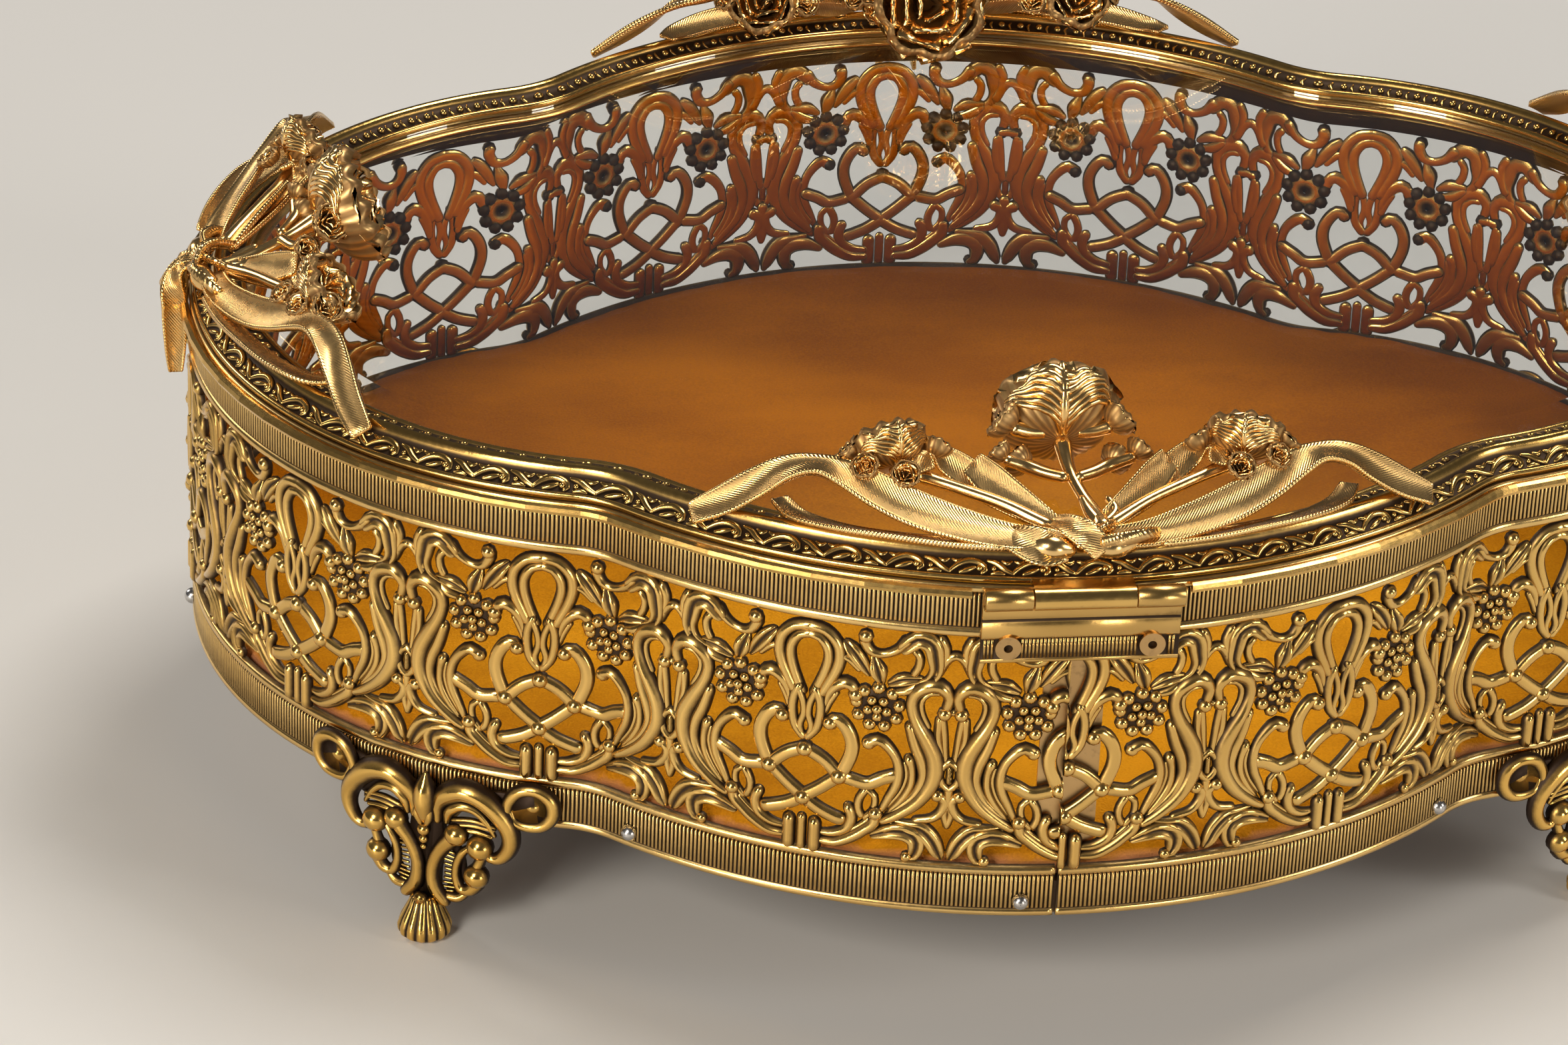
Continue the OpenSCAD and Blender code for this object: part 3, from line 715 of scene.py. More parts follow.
@dataclass
class WallArray:
    """A flat motif repeated along the wall's outline and bent to it, by Geometry Nodes."""

    seam: float = -0.9
    path_steps: int = 1400
    path: bpy.types.Object = field(init=False)
    group: bpy.types.NodeTree = field(init=False)

    def __post_init__(self) -> None:
        """Makes the outline as a curve that starts at the seam, and the node tree."""
        steps = self.path_steps
        s = self.seam + np.linspace(0, PLAN.around, steps + 1)
        xy = PLAN.at(s)
        curve = bpy.data.curves.new("wall_path", "CURVE")
        curve.dimensions = "3D"
        line = curve.splines.new("POLY")
        line.points.add(steps)
        for point, (x, y) in zip(line.points, xy):
            point.co = (x * MM, y * MM, 0, 1)
        self.path = linked("wall_path", curve)
        self.group = self._tree()

    @staticmethod
    def _tree() -> bpy.types.NodeTree:
        """Builds the tree: a row of copies, made real, then bent to the path.

        Returns:
            The node group.
        """
        group = bpy.data.node_groups.new("repeat_along_wall", "GeometryNodeTree")
        tree = Tree(group)
        for name, kind in (("Geometry", "Geometry"), ("Path", "Object"), ("Count", "Int"), ("Pitch", "Float"),
            ("Start", "Float"), ("Finish", "Material")):
            group.interface.new_socket(name, in_out="INPUT", socket_type=f"NodeSocket{kind}")
        group.interface.new_socket("Geometry", in_out="OUTPUT", socket_type="NodeSocketGeometry")
        given = tree.add("NodeGroupInput").outputs
        offset = tree.add("ShaderNodeCombineXYZ", {}, {"X": given["Pitch"]}).outputs[0]
        first = tree.add("ShaderNodeCombineXYZ", {}, {"X": given["Start"]}).outputs[0]
        row = tree.add("GeometryNodeMeshLine", {"mode": "OFFSET"},
            {"Count": given["Count"], "Start Location": first, "Offset": offset})
        copies = tree.add("GeometryNodeInstanceOnPoints", {},
            {"Points": row.outputs[0], "Instance": given["Geometry"]})
        solid = tree.add("GeometryNodeRealizeInstances", {}, {"Geometry": copies.outputs[0]})
        place = tree.add("ShaderNodeSeparateXYZ", {}, {0: tree.add("GeometryNodeInputPosition").outputs[0]})
        info = tree.add("GeometryNodeObjectInfo", {"transform_space": "ORIGINAL"}, {"Object": given["Path"]})
        sample = tree.add("GeometryNodeSampleCurve", {"mode": "LENGTH", "use_all_curves": True},
            {"Curves": info.outputs["Geometry"], "Length": place.outputs["X"]})
        out = tree.add("ShaderNodeVectorMath", {"operation": "CROSS_PRODUCT"},
            {0: sample.outputs["Tangent"], 1: (0, 0, 1)})
        unit = tree.add("ShaderNodeVectorMath", {"operation": "NORMALIZE"}, {0: out.outputs[0]})
        push = tree.add("ShaderNodeVectorMath", {"operation": "SCALE"},
            {0: unit.outputs[0], "Scale": place.outputs["Y"]})
        rise = tree.add("ShaderNodeCombineXYZ", {}, {"Z": place.outputs["Z"]})
        flat = tree.add("ShaderNodeVectorMath", {"operation": "ADD"},
            {0: sample.outputs["Position"], 1: push.outputs[0]})
        full = tree.add("ShaderNodeVectorMath", {"operation": "ADD"}, {0: flat.outputs[0], 1: rise.outputs[0]})
        bent = tree.add("GeometryNodeSetPosition", {}, {"Geometry": solid.outputs[0], "Position": full.outputs[0]})
        real = tree.add("GeometryNodeRealizeInstances", {}, {"Geometry": bent.outputs[0]})
        dressed = tree.add("GeometryNodeSetMaterial", {}, {"Geometry": real.outputs[0], "Material": given["Finish"]})
        tree.add("NodeGroupOutput", {}, {"Geometry": dressed.outputs[0]})
        return group

    def run(self, motif: Relief, name: str, finish: Finish, count: int, pitch: float, start: float,
        cut: tuple[float | None, float | None] = (None, None)) -> bpy.types.Object:
        """Repeats a flat motif along the wall.

        Args:
            motif: the motif, about x = 0, y out of the wall's face, z up from the table.
            name: the finished piece's name.
            finish: its finish.
            count: how many copies.
            pitch: their spacing.
            start: length of the first one's middle from the seam.
            cut: lengths about the motif's middle past which it is trimmed away, low and high.

        Returns:
            A plain mesh object.
        """
        source = motif.object(name + "_motif")
        for side, limit in zip((-1, 1), cut):
            if limit is not None:
                trim(source.data, limit * MM, side)
        modifier = source.modifiers.new("repeat", "NODES")
        modifier.node_group = self.group
        values = {"Path": self.path, "Count": count, "Pitch": pitch * MM, "Start": start * MM,
            "Finish": finish.material()}
        for item in self.group.interface.items_tree:
            if item.item_type == "SOCKET" and item.in_out == "INPUT" and item.name in values:
                modifier[item.identifier] = values[item.name]
        made = baked(source, name)
        made.data.materials.clear()
        made.data.materials.append(finish.material())
        made.data.flip_normals()
        return made

    def done(self) -> None:
        """Removes the outline curve, which isn't a piece."""
        bpy.data.objects.remove(self.path)


def trim(mesh: bpy.types.Mesh, limit: float, side: int) -> None:
    """Cuts away what lies past x = limit, on the low side (-1) or the high side (1), and closes the cut.

    Args:
        mesh: what is cut, in place.
        limit: where, in metres.
        side: -1 or 1.
    """
    work = bmesh.new()
    work.from_mesh(mesh)
    cut = bmesh.ops.bisect_plane(work, geom=[*work.verts, *work.edges, *work.faces], plane_co=(limit, 0, 0),
        plane_no=(side, 0, 0), clear_outer=True)
    edges = [e for e in cut["geom_cut"] if isinstance(e, bmesh.types.BMEdge) and e.is_boundary]
    bmesh.ops.holes_fill(work, edges=edges)
    bmesh.ops.recalc_face_normals(work, faces=work.faces)
    work.to_mesh(mesh)
    work.free()


def baked(source: bpy.types.Object, name: str) -> bpy.types.Object:
    """Turns an object with modifiers into a plain mesh object, and removes the source.

    Args:
        source: the object, which is removed.
        name: the new one's name.

    Returns:
        The plain object.
    """
    graph = bpy.context.evaluated_depsgraph_get()
    mesh = bpy.data.meshes.new_from_object(source.evaluated_get(graph))
    mesh.name = name
    made = linked(name, mesh)
    old = source.data
    source.modifiers.clear()
    bpy.data.objects.remove(source)
    bpy.data.meshes.remove(old)
    mesh.shade_smooth()
    return made


def merged(name: str, pieces: Sequence[bpy.types.Object]) -> bpy.types.Object:
    """Joins objects into one mesh object under a name.

    Args:
        name: the name of the whole.
        pieces: the objects; the first one stays.

    Returns:
        The whole.
    """
    target = pieces[0]
    with bpy.context.temp_override(active_object=target, selected_editable_objects=list(pieces)):
        bpy.ops.object.join()
    target.name = target.data.name = name
    return target


def report(piece: bpy.types.Object, body: str) -> bpy.types.Object:
    """Puts a piece on its body and logs it.

    Args:
        piece: the finished piece.
        body: the body that carries it.

    Returns:
        The piece.
    """
    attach(piece, body)
    LOG.info("%s on %s: %d faces", piece.name, body, len(piece.data.polygons))
    return piece


def wall_sweep(relief: Relief, profile: Sequence[Point], s: np.ndarray, closed: bool = True,
    loop: bool = False) -> None:
    """Sweeps a profile along the outline.

    Args:
        relief: where it goes.
        profile: (distance outside the face, height, relief) points.
        s: lengths along the wall.
        closed: whether the profile closes on itself.
        loop: whether the sweep closes on itself.
    """
    p = np.array(profile, float)
    xy = PLAN.at(s[:, None], p[None, :, 0])
    z = np.broadcast_to(p[None, :, 1], xy.shape[:2])
    rows = np.concatenate([xy, z[..., None]], axis=2)
    relief.grid(rows, np.broadcast_to(p[None, :, 2], xy.shape[:2]), around=closed, caps=closed and not loop,
        loop=loop)


# ---- gallery


R, F, P, W = Section.ROUND, Section.FLUTED, Section.FLAT, Section.WEB


def tapered(places: Sequence[tuple[float, float]], widths: float | Sequence[float]) -> tuple[Point, ...]:
    """Adds half-widths to the places of a stroke, one for all or one for each.

    Args:
        places: points as (across, up).
        widths: half-widths, spread evenly over the places.

    Returns:
        Points as (across, up, half-width).
    """
    if isinstance(widths, (int, float)):
        widths = [widths] * len(places)
    spots = np.linspace(0, len(widths) - 1, len(places))
    return tuple((u, v, float(np.interp(t, range(len(widths)), widths))) for (u, v), t in zip(places, spots))


@dataclass
class Gallery:
    """The pierced stamped strip: a repeated motif between two reeded bands."""

    cells: int = 16
    cell_w: float = 43.06
    seam_s: float = -0.9
    first_s: float = -0.4
    base: float = WALL_FOOT + 7.5
    lift: float = -0.75
    reed_pitch: float = 0.66
    reed_h: float = 5.7
    fullness: float = 1.22

    def half_cell(self) -> list[Stroke]:
        """The strokes of half a repeat, from the middle of a medallion outwards.

        Returns:
            The strokes, for across of 0 and more.
        """
        rows = [
            # the loop over the medallion and the husk below it
            (R, 0, 0.75, [(0, 37.3), (1.6, 36.8), (2.7, 35.2), (2.9, 33.4), (2.4, 31.2), (1.5, 28.8), (0.9, 27.4)]),
            (R, 0, 0.85, [(0, 38.7), (2.4, 38.2), (4.2, 36.3), (4.6, 34), (4.1, 31.8), (3.1, 29.6), (2.2, 27.8)]),
            (R, 0.5, 0.65, [(1.3, 28.4), (2, 26.5), (2.1, 24.2), (1.6, 21.8), (0.4, 20.2)]),
            (R, 0.6, 0.5, [(1.4, 28.2), (0.55, 26), (0.35, 24), (0.9, 22), (0.5, 20.3)]),
            (R, 0, (0.5, 0.9, 1.0, 0.7), [(2.5, 25.3), (3.2, 27.8), (4.4, 29.5), (5.8, 30.1), (6.8, 29.4),
                (7, 28.5)]),
            (R, 0, 0.5, [(2.6, 24.4), (3.3, 26.2), (4.2, 28)]),
            # leaves and scrolls under the upper band
            (F, 0, (0.7, 1.0, 0.9, 0.4), [(5.6, 36.6), (6.6, 35.6), (8, 33.6), (9, 31.9)]),
            (F, 0, (0.5, 1.15, 0.6), [(9.6, 34.8), (10.3, 32.8), (10.8, 31.0)]),
            (R, 0, (0.5, 0.6, 0.4), [(4.6, 34.4), (6.0, 34.0), (7.4, 32.4)]),
            (R, 0, (0.9, 0.8, 0.6, 0.9), [(8.2, 38.2), (8.2, 37.2), (9.2, 35.8), (11, 35.6), (13, 36.6),
                (14.3, 38.2)]),
            (F, 0.2, (1, 1.3, 1.3, 1, 0.8, 0.5), [(14, 37.2), (16, 38.9), (18, 38.2), (18.6, 36), (18.8, 34),
                (18, 32.2), (16.2, 31.2)]),
            (R, 0, 0.7, [(19.3, 39), (20, 37.4), (19.8, 35), (19, 33.2)]),
            (R, 0, 0.6, [(15.6, 36.6), (16.3, 35.6), (16.2, 34), (15.6, 32.8)]),
            (R, 0, 0.7, [(19.6, 34.6), (20.6, 36), (21.53, 36.4)]),
            (F, 0, (0.5, 0.9, 0.5), [(16.6, 32), (14, 31.8), (12.2, 30.8)]),
            (R, 0, (0.5, 0.8, 0.5), [(16.6, 31.4), (14.8, 30), (12.8, 29.4)]),
            # the great scroll, with the leaves that follow it
            (R, 0.35, (0.7, 0.8, 1.1, 1.1, 0.9, 0.8, 0.9, 1.1, 1.2, 1.2, 1.1, 1, 0.8, 0.6),
                [(20.6, 27.8), (20.9, 29.5), (19.6, 31.3), (17.7, 31.2), (16, 29.8), (15.5, 27.8), (16.2, 25.3),
                    (17.7, 22.5), (19.1, 19.5), (19.4, 16.7), (18.7, 14.2), (16.9, 11.4), (14.1, 8.9), (12.1, 7.6)]),
            (R, 0.2, 0.45, [(19.4, 30), (18, 29.8), (16.9, 28.5), (17, 26.5), (18, 24.2)]),
            (R, 0, (0.8, 0.9, 0.9, 0.8, 0.8, 0.7, 0.5), [(15.4, 24), (16.3, 20.9), (17.4, 18.1), (17.7, 15.3),
                (16.6, 12.5), (14.6, 10.3), (12.7, 8.4)]),
            (R, 0, (0.8, 0.6, 0.6, 0.6, 0.4), [(15.5, 18.4), (16, 16.4), (15.9, 13.9), (14.7, 11.4), (13, 9.2)]),
            (R, 0, 0.4, [(14.9, 17.6), (15.2, 15.3), (14.4, 12.6), (12.7, 10)]),
            (R, 0.3, (0.9, 0.9, 0.8, 0.7, 0.7, 0.7, 0.6, 0.5), [(9.4, 20.6), (10.8, 21.4), (12.1, 20.6), (13.5, 18.7),
                (14.1, 16.4), (13.8, 13.9), (12.7, 11.4), (11.9, 9.5)]),
            # the lattice of flat ribbons
            (P, 0, 0.9, [(5.8, 15), (6.9, 18.1), (6.9, 20.6), (5.8, 22.8), (4.5, 23.7), (3.6, 23)]),
            (P, 0, 0.9, [(0, 18), (2.8, 16.6), (5.3, 14.2)]),
            (P, 0, 0.9, [(5.3, 14.2), (2.4, 11.6), (0, 9.8)]),
            (P, 0, 0.9, [(6.5, 14), (9.5, 13.5), (11.5, 14.6), (13.6, 15.5)]),
            (P, 0, 0.9, [(0, 9.6), (2.5, 8), (5, 7), (5.8, 6.8)]),
            (R, 0, 0.5, [(9.6, 12.4), (10.7, 11.3), (10.6, 9.2), (9.4, 7.6)]),
            (R, 0, 0.6, [(9.2, 12.2), (8.4, 10.6), (8.3, 9), (8.8, 7.9)]),
            # leaves that spread from the tie over the lower band
            (R, 0, (0.8, 0.8, 0.8, 0.7, 0.5), [(6.9, 9), (7.4, 7.6), (6.9, 5.6), (4.9, 4.3), (2.7, 4)]),
            (R, 0, (0.8, 0.9, 0.9, 0.9, 0.8, 0.6), [(11, 8.7), (10.8, 7), (9.4, 5.6), (7.7, 4.2), (5.2, 2.8),
                (2.7, 2.6)]),
            (R, 0, 0.45, [(9.9, 7.3), (8.5, 6), (5.8, 4)]),
            (F, 0, (0.6, 1.1, 1.3, 1.2, 0.9, 0.6), [(10.8, 4.8), (13.3, 5.9), (15.8, 5.9), (17.2, 4.5), (16.9, 2.3),
                (16, 1.7)]),
            (F, 0, (0.5, 0.9, 1.2, 1.2, 0.9, 0.5), [(13.6, 7.4), (15.8, 7.0), (17.7, 6.7), (19.4, 5), (20.5, 2.8),
                (20.8, 2)]),
            (R, 0, (0.6, 0.9), [(16.9, 8.1), (19.4, 8.7), (20.8, 10.3), (21, 12), (19.9, 12.8)]),
            (R, 0, 0.6, [(12.4, 5.9), (14.6, 6.9), (16.6, 7.4)]),
            # stems beside the boundary
            (R, 0, 0.6, [(20.3, 26.7), (21.53, 26.9)]),
            (R, 0, 0.6, [(19.6, 25.5), (19.5, 22.3), (20.2, 19.5)]),
            (R, 0, 0.55, [(20, 26), (20.4, 23), (20.7, 19.5), (21, 18)]),
            (R, 0.35, 0.55, [(21.53, 18.7), (20.5, 17.8), (20.1, 16.3), (20.5, 14.8), (21.53, 13.9)]),
            (R, 0.3, (0.5, 0.75, 0.5), [(21.53, 17.4), (21.53, 15.2)]),
            (R, 0, (0.8, 0.6, 0.5), [(21.53, 13.9), (21.53, 11.6), (21.0, 9.6), (21.53, 7.4)]),
            # the tie
            (R, 0.3, 0.9, [(1.95, 1.5), (1.95, 5.7)]),]
        return [Stroke(tapered(places, widths), section, lift) for section, lift, widths, places in rows]

    def beads(self) -> list[tuple[float, float, float]]:
        """Places and radii of the round beads of half a repeat."""
        return [(5.3, 14.2, 1.4), (8.3, 38.4, 1.2), (3.6, 23, 1.25), (11, 8.7, 1.2), (20.3, 26.7, 1.2),
            (19.9, 12.8, 1.1), (7.2, 28.4, 1.2), (9.5, 20.6, 1.15), (15.8, 1.9, 0.9)]

    def cell(self) -> Relief:
        """A whole repeat, flat: strokes, beads and the two flowers.

        Returns:
            The repeat, at its height on the wall.
        """
        relief = Relief()
        for mirror in (1.0, -1.0):
            for stroke in self.half_cell():
                stroke.onto(relief, mirror, self.fullness)
            for u, v, r in self.beads():
                bead(relief, u * mirror, v, r, 0.45)
            self.flower(relief, 10.5 * mirror, 26.7)
        Stroke(tapered([(0, 1.3), (0, 6.3)], (0.8, 1.05, 0.8)), lift=0.4).onto(relief)
        for v in (18, 9.7):
            bead(relief, 0, v, 1.4, 0.45)
        return relief.mapped(lambda v: v + [0, self.lift, self.base])

    @staticmethod
    def flower(relief: Relief, u: float, v: float) -> None:
        """A small open flower: a ring of round petals round a raised eye, on a thin web.

        Args:
            relief: where it goes.
            u: centre across.
            v: centre up.
        """
        for i in range(9):
            a = 2 * math.pi * i / 9
            bead(relief, u + 3.2 * math.sin(a), v + 3.2 * math.cos(a), 1.12, 0.15, 8, 3)
        for i in range(5):
            a = 2 * math.pi * (i + 0.5) / 5
            bead(relief, u + 1.45 * math.sin(a), v + 1.45 * math.cos(a), 0.82, 0.6, 8, 3)
        bead(relief, u, v, 0.8, 1.0, 8, 3)
        ring = [(u + 1.9 * math.sin(a), v + 1.9 * math.cos(a)) for a in np.linspace(0, 2 * math.pi, 13)]
        Stroke(tapered(ring, 1.5), W, height=0.5).onto(relief)

    def build_filigree(self, array: WallArray) -> None:
        """Makes the filigree as four lengths of whole repeats, cut to the seam at both ends.

        Args:
            array: the repeater.
        """
        cell = self.cell()
        first = self.first_s - self.seam_s
        last = PLAN.around - self.cells * self.cell_w - first
        runs = {"back_right": (1, 3), "front_right": (4, 4), "front_left": (8, 4), "back_left": (12, 4)}
        for name, (start, count) in runs.items():
            made = array.run(cell, f"filigree_{name}", STAMPED, count, self.cell_w, first + start * self.cell_w)
            if name == "back_right":
                part = array.run(cell, "filigree_start", STAMPED, 1, self.cell_w, first, (-first, None))
                made = merged(f"filigree_{name}", [made, part])
            if name == "back_left":
                middle = first + self.cells * self.cell_w
                part = array.run(cell, "filigree_end", STAMPED, 1, self.cell_w, middle, (None, last))
                made = merged(f"filigree_{name}", [made, part])
            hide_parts("gallery_strip")
            report(made, "case")

    def build_bands(self, array: WallArray) -> None:
        """Makes the two borders: a plain strip with a smooth rib, and fine upright reeds on it.

        Args:
            array: the repeater.
        """
        count = int(PLAN.around / self.reed_pitch)
        pitch = PLAN.around / count
        for name, low, up in (("lower", WALL_FOOT, 1), ("upper", WALL_TOP, -1)):
            strip = Relief()
            heights = [(-0.9, 0.0, 0.4), (-0.25, 0.0, 0.5), (0.0, 0.15, 0.9), (0.1, 0.6, 1.0), (0.0, 1.1, 0.9),
                (-0.32, 1.3, 0.0), (-0.32, 7.0, 0.0), (-0.05, 7.15, 0.7), (0.22, 7.45, 1.0),
                (0.3, 7.9, 1.0), (0.18, 8.35, 0.9), (-0.15, 8.6, 0.5), (-0.9, 8.6, 0.2)]
            s = self.seam_s + 0.25 + np.linspace(0, PLAN.around - 0.5, 900)
            wall_sweep(strip, [(d, low + up * h, r) for d, h, r in heights], s)
            plain = strip.object(f"{name}_band", BAND)
            reed = Relief()
            ring = [(-0.24, -0.3, 0.0), (-0.2, -0.06, 0.5), (0, 0.04, 1.0), (0.2, -0.06, 0.5), (0.24, -0.3, 0.0)]
            z = low + up * 1.3 if up > 0 else low - 1.3 - self.reed_h
            rows = [[[x, y * k - 0.3 * (1 - k), z + h * self.reed_h] for x, y, _ in ring]
                for h, k in ((0, 0.2), (0.04, 1), (0.96, 1), (1, 0.2))]
            reed.grid(np.array(rows), np.array([[r for _, _, r in ring]] * 4), around=True, caps=True)
            reeds = array.run(reed, f"{name}_reeds", BAND, count - 1, pitch, pitch)
            made = merged(f"{name}_reeded_band", [plain, reeds])
            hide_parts("gallery_strip")
            report(made, "case")

    def build(self, array: WallArray) -> None:
        """Makes every piece of the gallery."""
        self.build_filigree(array)
        self.build_bands(array)


# ---- feet


@dataclass
class Foot:
    """A cast foot: dished ears, paired scrolls, a bud between them and a fluted ball underneath."""

    from_neck: float = 21.4
    stand_off: float = 0.45
    ball_h: float = 7.0
    flutes: int = 14
    hatches: int = 11
    dish_r: float = 3.4

    def place(self, corner: str) -> float:
        """The foot's length along the wall.

        Args:
            corner: one of CORNERS.

        Returns:
            The length from the middle of the hinge side.
        """
        near = PLAN.side_arc + PLAN.neck_arc + self.from_neck
        k = {"back_right": near, "front_right": 2 * PLAN.quarter - near, "front_left": 2 * PLAN.quarter + near,
            "back_left": PLAN.around - near}
        return k[corner]

    def strokes(self) -> list[Stroke]:
        """Half of the scrollwork, as (across, height, half-width).

        Returns:
            The strokes, for across of 0 and more.
        """
        def cast(places: Sequence[tuple[float, float]], widths: float | Sequence[float], section: Section = R,
            lift: float = 0.9, height: float = 1.05) -> Stroke:
            """One cast scroll."""
            return Stroke(tapered(places, widths), section, lift, height, 0.6, 2.4)

        return [
            # ground that ties the scrolls together
            cast([(1, 24.5), (5, 25.4), (9, 24.6), (11.5, 22)], (1.2, 1.6, 1.6, 1.2), W, 0.2, 0.35),
            cast([(0.6, 21), (0.8, 17), (0.7, 12), (0.8, 7)], (2.2, 2.4, 1.8, 1.6), W, 0.2, 0.4),
            cast([(4.2, 17), (5.4, 14), (5.4, 11), (4, 8.5)], (1.0, 0.9, 0.9, 1.0), W, 0.2, 0.35),
            cast([(10.5, 25.6), (12, 25.8), (14, 26)], (2.0, 2.0, 1.6), W, 0.2, 0.25),
            # the ear, a dish with a raised rim
            cast([(12.6, 23.6), (13, 26.4), (14.6, 28.6), (17.2, 29.1), (19.3, 27.7), (19.7, 25.2), (18.2, 23.1),
                (15.8, 22.6), (13.9, 23.2), (13.3, 25.0)], (0.9, 1.05, 1.15, 1.2, 1.25, 1.2, 1.1, 1.0, 0.9, 0.6), R,
                0.9, 1.0),
            # the great scroll
            cast([(1.9, 20.8), (1.9, 23.4), (3.2, 25.5), (5.9, 27.1), (8.9, 26.5), (11.5, 24.3), (13.2, 21.6),
                (13.4, 18.8), (12.1, 16.5), (10.4, 16.1), (9.6, 17.6)],
                (0.8, 1.2, 1.7, 2.0, 2.0, 1.85, 1.65, 1.45, 1.2, 1.0, 0.8), R, 1.0),
            cast([(3.3, 20.6), (3.7, 22.6), (5.6, 24.0), (7.8, 23.6), (9.6, 21.9), (10.8, 19.8)],
                (0.6, 1.0, 1.0, 0.8, 0.6, 0.4), R, 0.7),
            # bars behind the scroll
            cast([(4.6, 20.9), (7.4, 21.4), (10.6, 21.0)], (0.8, 0.8, 0.6), F, 0.6),
            cast([(5.0, 19.4), (7.6, 19.8), (10.2, 19.4)], (0.5, 0.6, 0.5), R, 0.5),
            # lower scroll with its hatched hollow
            cast([(4.9, 19.3), (4.1, 17.9), (2.8, 16.2), (1.7, 14.0), (1.2, 11.6), (1.6, 8.8), (3.2, 6.6)],
                (1.5, 1.5, 1.3, 1.2, 1.2, 1.3, 1.1), R, 1.0),
            cast([(7.2, 17.2), (5.9, 15.8), (5.0, 13.6), (4.9, 11.2), (5.7, 9.4), (7.2, 9.5), (8.4, 10.9)],
                (0.5, 0.75, 0.75, 0.8, 0.95, 1.15, 1.2), R, 0.8),
            cast([(3.4, 7.4), (5.2, 7.5), (6.6, 8.6)], (0.9, 0.9, 0.6), R, 0.6),
            # link down the outer side
            cast([(9.2, 16.6), (8.8, 15.2), (8.2, 13.6)], (1.1, 0.9, 1.0), R, 0.7),]

    def beads(self) -> list[tuple[float, float, float, float]]:
        """Balls of half a foot, as (across, height, radius, lift)."""
        return [(8.7, 17.5, 2.15, 0.9), (8.2, 12.2, 2.0, 0.9), (5.0, 19.0, 1.9, 1.1), (0.0, 7.0, 1.1, 2.6)]

    def flat(self) -> Relief:
        """The whole foot's scrollwork, flat.

        Returns:
            The foot before it is bent to the wall.
        """
        relief = Relief()
        for mirror in (1.0, -1.0):
            for stroke in self.strokes():
                stroke.onto(relief, mirror)
            for u, v, r, lift in self.beads():
                bead(relief, u * mirror, v, r, lift, 14, 5)
            self.dish(relief, 16.4 * mirror, 25.9)
            for i in range(self.hatches):
                t = i / (self.hatches - 1)
                u, v = 2.3 + 1.1 * math.sin(math.pi * t) - 0.6 * t, 15.6 - 8.4 * t
                Stroke(tapered([(mirror * u, v), (mirror * (u + 2.2), v + 0.9 * (t - 0.5))], 0.24), R, 0.7, 1.0, 0.4
                ).onto(relief)
        bud = [(0, 19.8), (0, 21.4), (0, 23.8), (0, 26.4), (0, 28.4)]
        Stroke(tapered(bud, (0.7, 1.5, 2.1, 1.7, 0.5)), R, 1.2, 1.1, 0.5, 2.4).onto(relief)
        for m in (-1.0, 1.0):
            Stroke(tapered([(m * 0.5, 20.0), (m * 1.0, 21.6), (m * 0.9, 23.4)], (0.5, 0.8, 0.4)), R, 1.9, 1.0, 0.5
            ).onto(relief)
        for v, r in ((18.9, 1.05), (17.2, 0.75), (15.8, 0.5)):
            bead(relief, 0, v, r, 1.8, 12, 4)
        return relief

    def dish(self, relief: Relief, u: float, v: float) -> None:
        """Adds the hollow of an ear, with a low whorl in the middle.

        Args:
            relief: the flat foot to add to.
            u: centre across.
            v: centre up.
        """
        angles = np.linspace(0, 2 * np.pi, 28, endpoint=False)
        rows, values = [], []
        for r in np.linspace(self.dish_r, 0.15, 10):
            out = r / self.dish_r
            whorl = 0.55 * math.exp(-((r / 0.9) ** 2))
            rows.append(np.stack([u + r * np.cos(angles), np.full(len(angles), 0.2 + 1.2 * out**2 + whorl),
                v + r * 0.92 * np.sin(angles)], axis=1))
            # the upper half of the dish is painted darker than its lower half: painted shade
            values.append(np.clip(0.1 + 0.7 * out**3 + whorl - 0.15 * np.sin(angles), 0, 1))
        relief.grid(np.array(rows), np.array(values), around=True, caps=True)
        back = np.array([rows[0], rows[0] - [0, 1.2, 0]])
        relief.grid(back[::-1], 0.2, around=True, caps=True)

    def solid(self, corner: str) -> Relief:
        """The foot at one corner: scrollwork bent to the wall, ball, and the lug under the board.

        Args:
            corner: one of CORNERS.

        Returns:
            The foot in its place.
        """
        s0 = self.place(corner)

        def bend(v: np.ndarray) -> np.ndarray:
            """Wraps flat places to the wall."""
            return np.column_stack([PLAN.at(s0 + v[:, 0], self.stand_off + v[:, 1]), v[:, 2]])

        relief = self.flat().mapped(bend)
        outward = PLAN.at(s0, 1.0) - PLAN.at(s0, 0.0)
        outward = outward / np.linalg.norm(outward)
        side = np.array([-outward[1], outward[0]])
        centre = PLAN.at(s0, 1.7)
        flare = [(0.0, 2.6), (0.04, 3.5), (0.12, 4.15), (0.26, 4.2), (0.42, 3.85), (0.6, 3.25), (0.78, 2.65),
            (0.92, 2.3), (1.0, 1.9)]
        rows, values = [], []
        angles = np.linspace(0, 2 * np.pi, self.flutes * 6, endpoint=False)
        wave = np.abs(np.cos(angles * self.flutes / 2)) ** 0.7
        for t in np.linspace(0, 1, 20):
            r = float(np.interp(t, *zip(*flare)))
            deep = 0.13 * min(1.0, t * 5) * (1 - 0.4 * t)
            rr = r * (1 - deep * (1 - wave))
            rows.append(np.stack([centre[0] + rr * np.cos(angles), centre[1] + rr * np.sin(angles),
                np.full(len(angles), self.ball_h * t)], axis=1))
            values.append(0.1 + 0.9 * wave)
        relief.grid(np.array(rows), np.array(values), around=True, caps=True)
        top = WALL_FOOT - 0.05
        corners = [(0.6, -4), (0.6, 4), (-11, 4), (-11, -4)]
        lug = [[[*(PLAN.at(s0, 0) + d * outward + w * side), z] for d, w in corners] for z in (top - 1.45, top)]
        relief.grid(np.array(lug), 0.6, around=True, caps=True)
        return relief

